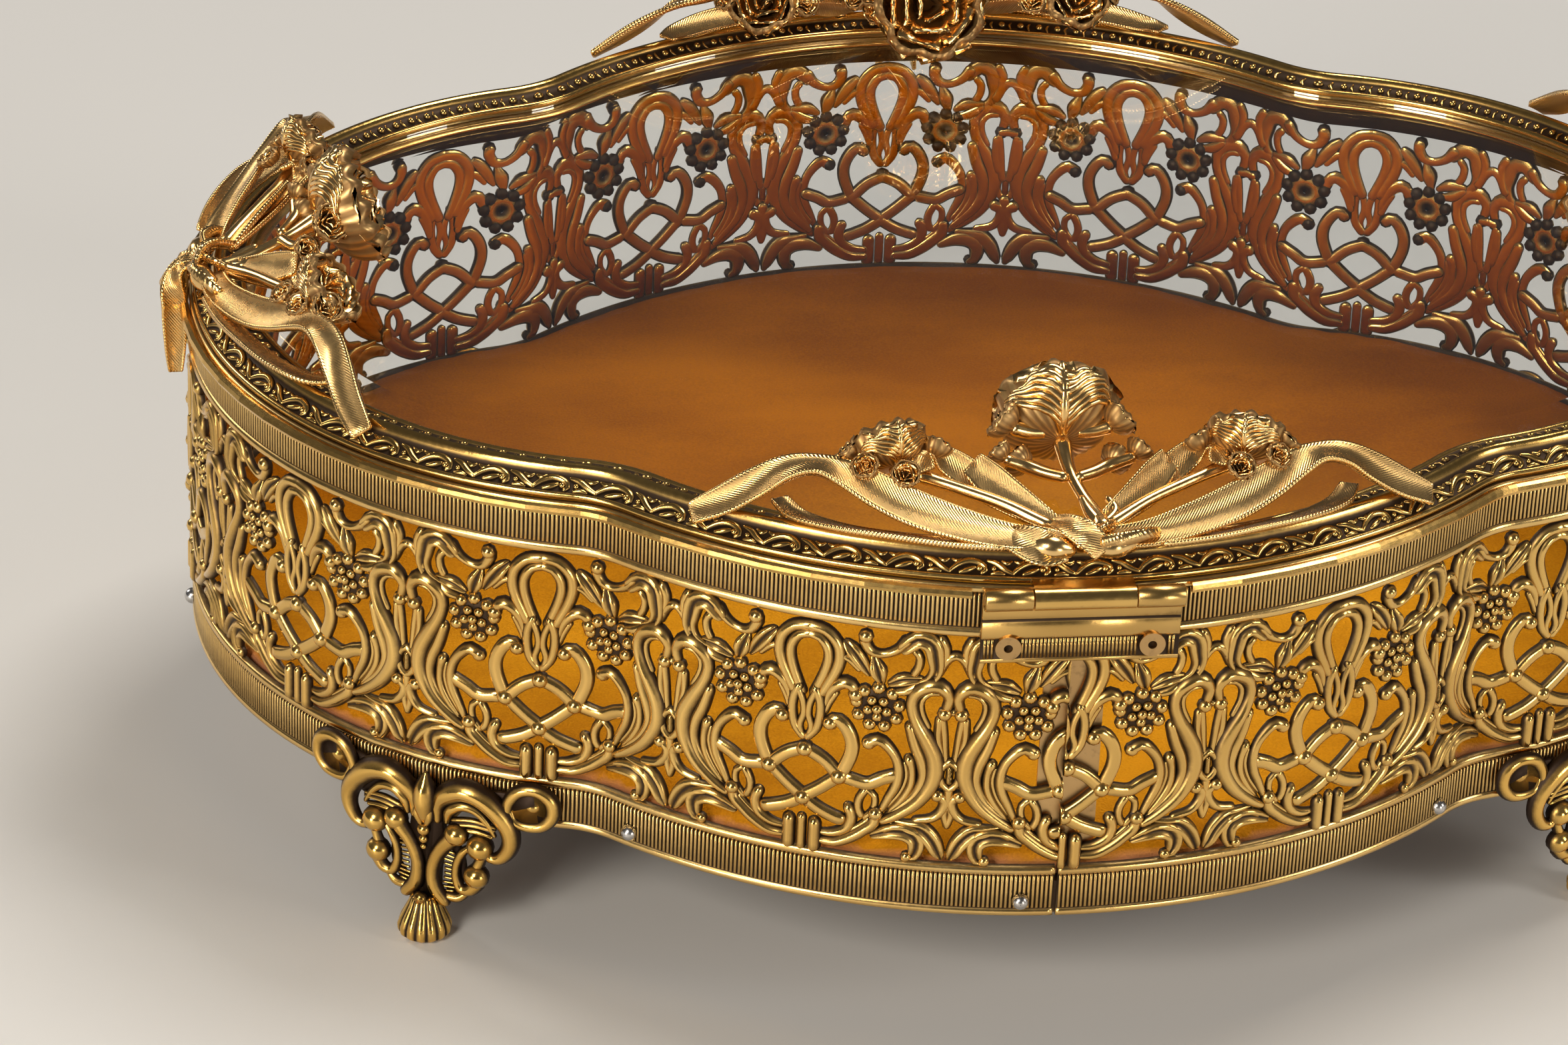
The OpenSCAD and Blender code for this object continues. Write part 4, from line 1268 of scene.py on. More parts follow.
    def build(self) -> None:
        """Makes the four feet."""
        for corner in CORNERS:
            piece = self.solid(corner).object(f"cast_foot_{corner}", FOOT)
            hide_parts(f"foot_{corner}")
            report(piece, "case")


# ---- lid


@dataclass
class Lid:
    """The embossed moulding, the bevelled pane and the ring under it."""

    frame_w: float = 8.8
    rib_rise: float = 4.0
    glass_seat: float = 1.6
    glass_hold: float = 1.4
    glass_t: float = 2.8
    bevel_w: float = 8.0
    bevel_drop: float = 0.12
    scroll_pitch: float = 9.2
    bead_pitch: float = 3.4

    def loop(self) -> np.ndarray:
        """Lengths for a closed sweep."""
        return np.linspace(0, PLAN.around, 640, endpoint=False)

    def swept(self, profile: Sequence[Point], name: str, finish: Finish) -> bpy.types.Object:
        """Sweeps an (inset, height, relief) profile all round.

        Args:
            profile: the points of a closed section.
            name: the piece's name.
            finish: its finish.

        Returns:
            The piece.
        """
        relief = Relief()
        wall_sweep(relief, [(-d, LID_BASE + z, r) for d, z, r in profile], self.loop(), loop=True)
        return relief.object(name, finish)

    def emboss(self, array: WallArray, strokes: Sequence[Stroke], beads: Sequence[Point], low: Point, high: Point,
        pitch: float, name: str) -> bpy.types.Object:
        """Repeats a small pattern on a sloping face of the moulding.

        Args:
            array: the repeater.
            strokes: the pattern's strokes, flat.
            beads: its beads as (across, up, radius).
            low: lower edge of the face as (inset, height).
            high: its upper edge.
            pitch: spacing of the repeats.
            name: the piece's name.

        Returns:
            The piece.
        """
        relief = Relief()
        for stroke in strokes:
            stroke.onto(relief)
        for u, v, r in beads:
            bead(relief, u, v, r, 0.0, 8, 2)
        a, b = np.array([-low[0], low[1] + LID_BASE]), np.array([-high[0], high[1] + LID_BASE])
        e = (b - a) / np.linalg.norm(b - a)
        n = np.array([-e[1], e[0]]) if e[0] < 0 else np.array([e[1], -e[0]])
        n = n if n[1] > 0 else -n

        def lean(v: np.ndarray) -> np.ndarray:
            """Lays flat places on the sloping face."""
            dz = a + v[:, 2:3] * e + v[:, 1:2] * n
            return np.column_stack([v[:, 0], dz])

        count = round(PLAN.around / pitch)
        return array.run(relief.mapped(lean), name, STAMPED, count, PLAN.around / count, PLAN.around / count / 2)

    def build_frame(self, array: WallArray) -> None:
        """The moulding with its scrolled outer slope, smooth rib and beaded inner slope.

        Args:
            array: the repeater.
        """
        m, top, w = self.frame_w * 0.5, self.rib_rise, self.frame_w
        profile = [(0.5, 0, 0.6), (0.35, 0.4, 0.9), (0.5, 0.85, 1.0), (0.8, 0.95, 0.7), (0.95, 0.9, 0.1),
            (m - 1.35, 2.45, 0.1), (m - 1.1, 2.7, 0.2), (m - 0.95, 3.2, 0.7), (m - 0.7, 3.65, 1.0),
            (m - 0.25, top, 1.0), (m + 0.25, top, 1.0), (m + 0.7, 3.65, 1.0), (m + 0.9, 3.25, 0.6),
            (m + 1.1, 2.95, 0.15), (w - 0.95, 2.3, 0.15), (w - 0.8, 2.45, 0.7), (w - 0.5, 2.7, 1.0),
            (w - 0.15, 2.6, 1.0), (w, 2.3, 0.8), (w, 1.66, 0.5), (w - 1.7, 1.66, 0.5), (w - 1.7, 0.1, 0.5),
            (w - 2.6, 0.05, 0.6), (m, 2.3, 0.6), (1.4, 0.15, 0.6)]
        frame_piece = self.swept(profile, "moulding", STAMPED)
        scroll = [
            Stroke(tapered([(-4.5, 0.5), (-3.4, 1.5), (-1.8, 2.2), (-0.1, 1.9), (0.8, 1.0), (0.2, 0.4)],
                (0.35, 0.5, 0.6, 0.56, 0.45, 0.35)), R, 0.0, 1.0, 0.7),
            Stroke(tapered([(4.7, 0.4), (3.5, 1.0), (2.3, 1.9), (1.0, 2.3)], (0.35, 0.52, 0.52, 0.3)), R, 0, 1, 0.7),
            Stroke(tapered([(-3.0, 0.35), (-1.9, 0.75), (-0.9, 1.2)], (0.3, 0.5, 0.35)), R, 0, 1, 0.6),
            Stroke(tapered([(-4.2, 2.3), (-3.4, 2.0), (-2.8, 2.4)], (0.25, 0.42, 0.25)), R, 0, 1, 0.6),
            Stroke(tapered([(1.6, 0.3), (2.6, 0.45), (3.4, 0.3)], (0.25, 0.45, 0.25)), R, 0, 1, 0.6),
            Stroke(tapered([(3.1, 2.3), (3.9, 1.9), (4.5, 2.3)], (0.25, 0.42, 0.25)), R, 0, 1, 0.6),]
        outer = self.emboss(array, scroll, [(-0.2, 1.1, 0.55), (1.9, 1.1, 0.45)], (0.95, 0.86), (m - 1.35, 2.41),
            self.scroll_pitch, "moulding_scroll")
        leaf = [Stroke(tapered([(-1.2, 0.4), (-0.9, 1.2), (-1.2, 2.0)], (0.18, 0.34, 0.18)), R, 0, 1, 0.6)]
        inner = self.emboss(array, leaf, [(0.45, 1.15, 0.72)], (m + 1.1, 2.92), (w - 0.95, 2.27), self.bead_pitch,
            "moulding_beads")
        made = merged("lid_moulding", [frame_piece, outer, inner])
        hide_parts("lid_frame")
        report(made, "lid")

    def build_glass(self) -> None:
        """The pane: ground edge, wide bevel, flat middle."""
        edge = self.frame_w - self.glass_hold
        top = LID_BASE + self.glass_seat
        relief = Relief()
        s = np.linspace(0, PLAN.around, 480, endpoint=False)
        rings = [(edge + 0.15, top - self.glass_t), (edge, top - self.glass_t + 0.15),
            (edge, top - self.bevel_drop - 0.07), (edge + 0.1, top - self.bevel_drop), (edge + self.bevel_w, top)]
        rows = np.array([np.column_stack([PLAN.at(s, -d), np.full(len(s), z)]) for d, z in rings])
        relief.grid(rows, 0.0, around=True, caps=True)
        piece = relief.object("bevelled_pane", GLASS)
        piece.data.shade_flat()
        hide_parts("lid_glass")
        report(piece, "lid")

    def build_retainer(self) -> None:
        """The ring that holds the pane from below."""
        top = self.glass_seat - self.glass_t - 0.05
        outer, lip = self.frame_w - self.glass_hold - 2.3, self.frame_w + 1.2
        piece = self.swept([(outer, top - 0.4, 0.7), (outer, top, 0.7), (lip - 0.1, top, 0.8), (lip, top - 0.1, 1),
            (lip, top - 0.3, 1), (lip - 0.1, top - 0.4, 0.8)], "pane_ring", STAMPED)
        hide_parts("glass_retainer")
        report(piece, "lid")

    def build(self, array: WallArray) -> None:
        """Makes the lid's frame, pane and ring.

        Args:
            array: the repeater.
        """
        self.build_frame(array)
        self.build_glass()
        self.build_retainer()


# ---- ornaments


def rim(side: str, places: np.ndarray) -> np.ndarray:
    """Places over the rim of one side.

    Args:
        side: back, right, front or left.
        places: rows of (length along the rim from the side's middle, inset, height over the lid's underside).

    Returns:
        Rows of x, y, z.
    """
    s0 = SIDES.index(side) * PLAN.quarter
    p = np.atleast_2d(places)
    # lengths are kept true at any inset by turning about the lobe's centre
    r = PLAN.side_r if side in ("back", "front") else PLAN.end_r
    angle = p[:, 0] / r
    centre = PLAN.at(s0, -r)
    out = PLAN.at(s0, 1.0) - PLAN.at(s0, 0.0)
    out = out / np.linalg.norm(out)
    along = np.array([-out[1], out[0]])
    radius = r - p[:, 1]
    xy = centre + radius[:, None] * (np.cos(angle)[:, None] * out + np.sin(angle)[:, None] * along)
    return np.column_stack([xy, LID_BASE + p[:, 2]])


def crossed(a: np.ndarray, b: np.ndarray) -> np.ndarray:
    """Unit cross products of rows."""
    c = np.cross(a, b)
    return c / (np.linalg.norm(c, axis=-1, keepdims=True) + 1e-9)


@dataclass(frozen=True)
class Ribbon:
    """A cast ribbon: points are (along rim, inset, height, width, lean in degrees)."""

    points: tuple[Point, ...]
    thick: float = 1.1
    spacing: float = 1.1

    SECTION = ((-1, 0.30, 1.0), (-0.93, 0.58, 1.0), (-0.78, 0.60, 1.0), (-0.7, 0.34, 0.72), (0, 0.46, 0.8),
        (0.7, 0.34, 0.72), (0.78, 0.60, 1.0), (0.93, 0.58, 1.0), (1, 0.30, 1.0), (0.9, -0.42, 0.7),
        (0, -0.34, 0.5), (-0.9, -0.42, 0.7))

    def onto(self, relief: Relief, side: str, mirror: float = 1.0) -> None:
        """Adds the ribbon to a relief, on one side of the lid.

        Args:
            relief: where it goes.
            side: one of SIDES.
            mirror: -1 for the other half of the ornament.
        """
        raw = np.array(self.points, float)
        raw[:, 0] *= mirror
        length = float(np.linalg.norm(np.diff(raw[:, :3], axis=0), axis=1).sum())
        c = spline([tuple(p) for p in raw], max(6, round(length / self.spacing)))
        middle = rim(side, c[:, :3])
        run = np.gradient(middle, axis=0)
        run /= np.linalg.norm(run, axis=1)[:, None]
        across = crossed(run, np.broadcast_to([0.0, 0.0, 1.0], run.shape)) * mirror
        up = crossed(across, run) * mirror
        lean = np.radians(c[:, 4:5])
        wide = across * np.cos(lean) + up * np.sin(lean)
        face = up * np.cos(lean) - across * np.sin(lean)
        travel = np.concatenate([[0], np.cumsum(np.linalg.norm(np.diff(middle, axis=0), axis=1))])
        section = np.array(self.SECTION)
        rows, values, alongs, acrosses = [], [], [], []
        steps = len(middle)
        for i in range(-1, steps + 1):
            k = min(max(i, 0), steps - 1)
            end = i < 0 or i >= steps
            thin, shift = (0.55, 0.3) if end else (1.0, 0.0)
            place = middle[k] + run[k] * (shift if i >= steps else -shift)
            half = c[k, 3] / 2 * (0.86 if end else 1.0)
            rows.append(place + wide[k] * (section[:, :1] * half) + face[k] * (section[:, 1:2] * self.thick * thin))
            values.append(section[:, 2])
            alongs.append(np.full(len(section), travel[k]))
            acrosses.append(section[:, 0] * half)
        relief.grid(np.array(rows), np.array(values), around=True, caps=True, along=np.array(alongs),
            across=np.array(acrosses))


@dataclass(frozen=True)
class Stem:
    """A round stem with changing radius: points are (along rim, inset, height, radius)."""

    points: tuple[Point, ...]

    def onto(self, relief: Relief, side: str, mirror: float = 1.0) -> None:
        """Adds the stem to a relief.

        Args:
            relief: where it goes.
            side: one of SIDES.
            mirror: -1 for the other half of the ornament.
        """
        raw = np.array(self.points, float)
        raw[:, 0] *= mirror
        c = spline([tuple(p) for p in raw], max(8, 5 * len(raw)))
        middle = rim(side, c[:, :3])
        tube(relief, middle, c[:, 3])


def tube(relief: Relief, middle: np.ndarray, radius: np.ndarray, sides: int = 10) -> None:
    """Adds a round tube with rounded ends along a line of points.

    Args:
        relief: where it goes.
        middle: rows of x, y, z.
        radius: one for each row.
        sides: faces round it.
    """
    run = np.gradient(middle, axis=0)
    run /= np.linalg.norm(run, axis=1)[:, None] + 1e-9
    guide = np.array([0.3, 0.2, 1.0])
    across = crossed(run, np.broadcast_to(guide, run.shape))
    up = crossed(across, run)
    angles = np.linspace(0, 2 * np.pi, sides, endpoint=False)
    rows = []
    first, last = middle[0] - run[0] * radius[0] * 0.6, middle[-1] + run[-1] * radius[-1] * 0.6
    places = [first, *middle, last]
    sizes = [radius[0] * 0.5, *radius, radius[-1] * 0.5]
    keys = [0, *range(len(middle)), len(middle) - 1]
    for place, size, k in zip(places, sizes, keys):
        rows.append(place + size * (np.cos(angles)[:, None] * across[k] + np.sin(angles)[:, None] * up[k]))
    relief.grid(np.array(rows), 0.9, around=True, caps=True)


@dataclass(frozen=True)
class Rose:
    """An open rose on a leafy cup: built about +Z, then turned to its axis.

    Its petals are thin cupped shells in rings; the back is a veined cup with small curled lobes.
    """

    size: float
    lobes: int = 7

    def cup(self, relief: Relief) -> None:
        """The veined back, a scalloped bowl with ridges that fan out from the stem.

        Args:
            relief: where it goes.
        """
        n, m = (84, 12) if self.size > 8 else (36, 7)
        r0 = self.size / 2
        angles = np.linspace(0, 2 * np.pi, n, endpoint=False)
        fold = np.abs(np.sin(angles * self.lobes / 2))
        vein = np.cos(angles * self.lobes * 4)
        outer, inner, ro, ri = [], [], [], []
        for i in range(m + 1):
            t = i / m
            open_ = math.sin(t * math.pi * 0.5) ** 0.8
            r = r0 * (0.12 + 0.9 * open_) * (1 - 0.13 * (1 - fold) * t) + 0.012 * self.size * vein * math.sin(
                math.pi * min(1, t * 1.05))
            z = self.size * (0.42 * t**1.7 + 0.06 * t * (fold - 0.5) + 0.03 * t**4 * np.sin(angles * self.lobes * 2))
            curl = -0.07 * self.size * max(0, t - 0.82) / 0.18
            outer.append(np.column_stack([r * np.cos(angles), r * np.sin(angles), z + curl * fold]))
            ro.append(0.3 + 0.4 * (vein * 0.5 + 0.5))
            k = 0.86
            inner.append(np.column_stack([k * r * np.cos(angles), k * r * np.sin(angles),
                z + curl * fold + 0.07 * self.size]))
            ri.append(np.full(n, 0.45))
        relief.grid(np.array(outer + inner[::-1]), np.array(ro + ri[::-1]), around=True, caps=True)
        if self.size > 8:
            self.veins(relief, outer)

    def veins(self, relief: Relief, skin: list[np.ndarray]) -> None:
        """A midrib on the outer side of the cup and pairs of ribs that arch away from it.

        Args:
            relief: where they go.
            skin: the cup's rings of points, from the stem to the rim.
        """
        rings, n = len(skin) - 1, len(skin[0])
        middle = 0.5 * math.pi

        def on_skin(angle: float, t: float) -> np.ndarray:
            """A point of the cup at an angle and a share of the way to its rim.

            Args:
                angle: round the axis, in radians.
                t: share of the way.

            Returns:
                Its x, y, z.
            """
            a = skin[min(rings, int(t * rings))]
            b = skin[min(rings, int(t * rings) + 1)]
            turn = (angle % (2 * math.pi)) / (2 * math.pi) * n
            k, g = int(turn) % n, turn - int(turn)
            f = t * rings - int(t * rings)
            low = a[k] * (1 - g) + a[(k + 1) % n] * g
            return low * (1 - f) + (b[k] * (1 - g) + b[(k + 1) % n] * g) * f

        def rib(places: Iterable[tuple[float, float]], radius: float) -> None:
            """One raised rib through (angle, share) places."""
            line = np.array([on_skin(a, t) for a, t in places])
            tube(relief, line, np.linspace(radius, radius * 0.55, len(line)), 7)

        rib([(middle, t) for t in np.linspace(0.05, 0.98, 9)], 0.05 * self.size)
        for side in (-1, 1):
            for i in range(7):
                start = 0.05 + 0.12 * i
                reach = 1.45 - 0.16 * i
                rib([(middle + side * reach * q, start + (0.97 - start) * 0.6 * math.sin(1.95 * q))
                    for q in np.linspace(0, 1, 9)], 0.04 * self.size)

    def petal(self, relief: Relief, turn: float, radius: float, wide: float, tall: float, lean: float) -> None:
        """One cupped petal of a ring.

        Args:
            relief: where it goes.
            turn: its direction, in radians.
            radius: distance of its foot from the axis.
            wide: half-angle that it wraps.
            tall: its height.
            lean: how far its lip leans out.
        """
        n, m = (13, 7) if self.size > 8 else (7, 5)
        thick = 0.035 * self.size
        front, back = [], []
        for i in range(m):
            t = i / (m - 1)
            w = wide * (0.55 + 0.5 * math.sin(math.pi * (0.15 + 0.7 * t)))
            a = turn + np.linspace(-w, w, n)
            edge = (np.linspace(-1, 1, n)) ** 2
            r = radius * (0.75 + 0.25 * t) + lean * t**2.2 + 0.05 * self.size * edge * t
            frill = 0.02 * self.size * t**2 * np.sin(np.linspace(0, 4 * math.pi, n) + turn)
            z = self.size * 0.1 + tall * t * (1 - 0.2 * edge * t) + frill
            front.append(np.column_stack([(r + thick / 2) * np.cos(a), (r + thick / 2) * np.sin(a), z]))
            back.append(np.column_stack([(r - thick / 2) * np.cos(a), (r - thick / 2) * np.sin(a), z]))
        rows = [np.vstack([f, b[::-1]]) for f, b in zip(front, back)]
        # each petal is painted darker towards its foot, deep in the flower: painted shade
        levels = [np.full(2 * n, 0.35 + 0.65 * i / (m - 1)) for i in range(m)]
        relief.grid(np.array(rows), np.array(levels), around=True, caps=True)

    def onto(self, relief: Relief, foot: np.ndarray, way: np.ndarray, spin: float = 0.0) -> None:
        """Adds the rose with its foot at a point, opening along a direction.

        Args:
            relief: where it goes.
            foot: the point.
            way: the direction.
            spin: turn of the petals, in radians.
        """
        own = Relief()
        self.cup(own)
        r = self.size / 2
        rings = ((5, 0.74, 0.60, 0.30, 0.10), (5, 0.54, 0.66, 0.34, 0.08), (4, 0.36, 0.8, 0.37, 0.05),
            (3, 0.2, 1.0, 0.39, 0.0))
        for k, (count, radius, wide, tall, lean) in enumerate(rings):
            for i in range(count):
                self.petal(own, spin + 2 * math.pi * (i + 0.5 * (k % 2)) / count, radius * r, wide,
                    tall * self.size, lean * self.size)
        way = way / np.linalg.norm(way)
        x = np.cross([0.0, 0.0, 1.0], way)
        x = x / np.linalg.norm(x) if np.linalg.norm(x) > 1e-6 else np.array([1.0, 0, 0])
        basis = np.array([x, np.cross(way, x), way])
        relief.join(own.mapped(lambda v: foot + v @ basis))


@dataclass
class Bow:
    """A cast ornament on one side of the lid: a bow of ribbons, a middle rose and two side roses."""

    side: str
    rose_d: float = 17.0
    bud_d: float = 12.0

    @property
    def hangs(self) -> bool:
        """Whether a tail hangs outside the rim; the hinge leaves no room for one."""
        return self.side != "back"

    def ribbons(self) -> list[Ribbon]:
        """The ribbons of one half.

        Returns:
            The ribbons, for lengths of 0 and more.
        """
        return [
            # the long streamer: from the knot along the rim, up over a crest and down to the rim by the neck
            Ribbon(((5, 3.2, 5.6, 4.2, -18), (11, 3.6, 5.8, 4.8, -26), (18, 4.6, 6.8, 5.4, -34),
                (25, 5.6, 8.2, 5.8, -38), (31, 6.4, 10.0, 5.6, -36), (36.5, 7.2, 11.6, 5.0, -22),
                (41, 7.4, 12.1, 4.6, -4), (45.5, 6.6, 11.2, 4.6, -20), (50, 5.0, 8.6, 4.8, -40),
                (54.5, 2.8, 5.6, 4.6, -44), (58.5, 1.0, 3.2, 3.6, -36))),
            # a return that lies on the rim under the arch, and curls up at its outer end
            Ribbon(((47, 6.8, 5.6, 3.0, -6), (43, 4.6, 4.9, 4.2, -14), (36, 3.2, 5.0, 4.8, -22),
                (28, 2.8, 5.1, 4.8, -24), (20, 2.4, 5.0, 4.4, -22), (12, 2.2, 5.0, 3.8, -18)), 0.8),
            # the loop of the bow, which folds over behind the side rose
            Ribbon(((4.0, 6.0, 6.4, 3.4, -10), (9.0, 9.6, 7.4, 4.2, -30), (14.0, 12.6, 8.6, 4.6, -42),
                (19.0, 14.8, 10.4, 4.6, -46), (23.0, 15.6, 11.8, 3.8, -30), (25.5, 14.0, 12.6, 3.2, 10),
                (24.5, 11.6, 11.6, 3.0, 20)), 0.9),
            # a broad forked end beside the stem
            Ribbon(((3.6, 5.6, 6.4, 3.2, -12), (7.0, 7.8, 7.6, 4.2, -30), (10.6, 10.2, 9.0, 4.8, -44),
                (14.0, 12.4, 10.4, 5.0, -50), (16.8, 14.0, 11.8, 4.0, -52)), 1.0),]

    def knot(self, relief: Relief) -> None:
        """The knot: two satin cheeks that bulge over the rim, and a fold that wraps between them.

        Args:
            relief: where it goes.
        """
        for m in (-1, 1):
            Ribbon(((m * 11.0, 4.2, 5.4, 3.4, -24), (m * 8.6, 2.4, 5.8, 5.0, -46), (m * 5.6, 1.2, 5.6, 5.8, -58),
                (m * 2.8, 1.6, 5.4, 4.6, -48)), 1.6, 0.8).onto(relief, self.side, 1.0)
            Stem(((m * 1.8, 1.8, 5.0, 1.3), (m * 4.6, 1.6, 5.4, 1.9), (m * 7.6, 2.8, 5.2, 1.5))
            ).onto(relief, self.side)
            Stem(((m * 12, 4.4, 4.1, 1.5), (m * 12, 4.4, 5.6, 1.2))).onto(relief, self.side)
        Ribbon(((-4.2, 6.2, 6.8, 3.0, -10), (-2.2, 3.6, 7.8, 3.8, -24), (0.4, 1.4, 7.4, 4.2, -50),
            (2.6, 0.4, 5.2, 3.4, -66)), 1.2, 0.7).onto(relief, self.side)
        Ribbon(((4.6, 6.4, 6.6, 2.8, -10), (3.0, 4.2, 7.2, 3.6, -24), (0.8, 2.4, 6.6, 3.6, -40)), 1.1, 0.7
        ).onto(relief, self.side)

    def build_ribbons(self) -> None:
        """Makes the bow."""
        relief = Relief()
        for m in (-1.0, 1.0):
            for ribbon in self.ribbons():
                ribbon.onto(relief, self.side, m)
        self.knot(relief)
        if self.hangs:
            for m in (-1.0, 1.0):
                Ribbon(((m * 0.6, 2.2, 6.4, 3.4, 0), (m * 1.0, -1.4, 5.6, 4.0, 0), (m * 1.5, -2.5, 2.8, 4.2, 0),
                    (m * 2.0, -2.5, -2.0, 4.0, 0), (m * 2.6, -2.45, -7.5, 3.4, 0), (m * 2.9, -2.45, -11.4, 2.4, 0)),
                    0.8, 0.9).onto(relief, self.side)
        piece = relief.object(f"bow_{self.side}", CAST)
        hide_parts(f"ribbon_{self.side}")
        report(piece, "lid")

    def direction(self, lean: float, swing: float) -> np.ndarray:
        """A direction that leans from upright towards the lid's middle, then swings along the rim.

        Args:
            lean: degrees from upright.
            swing: degrees along the rim.

        Returns:
            A unit vector.
        """
        inward = rim(self.side, np.array([[0, 10.0, 0]]))[0] - rim(self.side, np.array([[0, 0.0, 0]]))[0]
        inward = inward / np.linalg.norm(inward)
        along = rim(self.side, np.array([[1.0, 0, 0]]))[0] - rim(self.side, np.array([[0, 0.0, 0]]))[0]
        flat = inward * math.cos(math.radians(swing)) + along * math.sin(math.radians(swing))
        return flat * math.sin(math.radians(lean)) + np.array([0, 0, math.cos(math.radians(lean))])

    def rose(self, relief: Relief, size: float, place: Point, lean: float, swing: float, lobes: int = 6,
        spin: float = 0.0) -> None:
        """Adds one rose.

        Args:
            relief: where it goes.
            size: its diameter.
            place: its foot, as (along rim, inset, height).
            lean: how far its axis leans from upright, in degrees.
            swing: how far the lean turns along the rim, in degrees.
            lobes: lobes of its cup.
            spin: turn of its petals.
        """
        Rose(size, lobes).onto(relief, rim(self.side, np.array([place]))[0], self.direction(lean, swing), spin)

    def build_rose(self) -> None:
        """Makes the middle rose on its stem, with side buds at its neck."""
        relief = Relief()
        Stem(((3.6, 5.0, 6.2, 1.7), (2.8, 8.2, 7.2, 1.1), (1.5, 11.4, 8.2, 0.95), (0, 15.6, 9.9, 1.0),
            (-0.8, 19.8, 12.4, 1.4))).onto(relief, self.side)
        for a, start, lean in ((1.2, 8.0, 0.9), (5.4, 7.6, 0.8)):
            Stem(((3.4, 5.4, 6.2, 1.2), (a + 0.6, start, 7.6, lean), (a - 0.2, start + 2.2, 8.6, 0.55))
            ).onto(relief, self.side)
        self.rose(relief, self.rose_d * 1.1, (-0.9, 20.2, 12.5), 68, 0, 7)
        for m in (-1.0, 1.0):
            self.rose(relief, 6.4, (m * 8.8 - 0.9, 20.2, 14.6), 60, m * 62, 5, 0.6)
            self.rose(relief, 5.0, (m * 7.4, 16.6, 10.4), 86, m * 40, 5, 0.2)
            self.rose(relief, 4.4, (m * 11.4, 16.0, 11.8), 60, m * 50, 5, 0.9)
            Stem(((m * 1.2, 14.2, 9.8, 0.9), (m * 4.4, 15.4, 9.9, 1.0), (m * 7.4, 16.4, 10.4, 1.1),
                (m * 11.2, 16.0, 11.6, 0.9))).onto(relief, self.side)
            Stem(((m * 3.4 - 0.9, 20.6, 13.8, 1.0), (m * 6.2 - 0.9, 20.4, 14.0, 1.1),
                (m * 8.8 - 0.9, 20.2, 14.6, 1.2))).onto(relief, self.side)
        piece = relief.object(f"middle_rose_{self.side}", CAST)
        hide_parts(f"rose_{self.side}")
        report(piece, "lid")

    def build_side_roses(self) -> None:
        """Makes the two smaller roses with their stems and buds."""
        relief = Relief()
        for m in (-1.0, 1.0):
            Stem(((m * 4.6, 5.6, 6.6, 1.1), (m * 11, 8.6, 8.2, 0.9), (m * 17, 10.6, 9.0, 0.95),
                (m * 23, 12.0, 9.7, 1.0), (m * 29.6, 12.6, 10.8, 1.4))).onto(relief, self.side)
            self.rose(relief, self.bud_d, (m * 29.8, 12.4, 10.8), 52, m * 16, 6, 0.4)
            self.rose(relief, 5.2, (m * 24.0, 15.4, 11.6), 56, -m * 30, 5, 0.8)
            self.rose(relief, 5.0, (m * 36.2, 11.4, 12.0), 50, m * 66, 5, 1.1)
            self.rose(relief, 4.4, (m * 27.4, 9.6, 11.0), 40, m * 170, 5, 0.3)
            self.rose(relief, 4.2, (m * 33.6, 9.2, 11.8), 42, m * 150, 5, 0.7)
        piece = relief.object(f"small_roses_{self.side}", CAST)
        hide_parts(f"side_roses_{self.side}")
        report(piece, "lid")

    def build(self) -> None:
        """Makes the whole ornament."""
        self.build_ribbons()
        self.build_rose()
        self.build_side_roses()


# ---- hinge


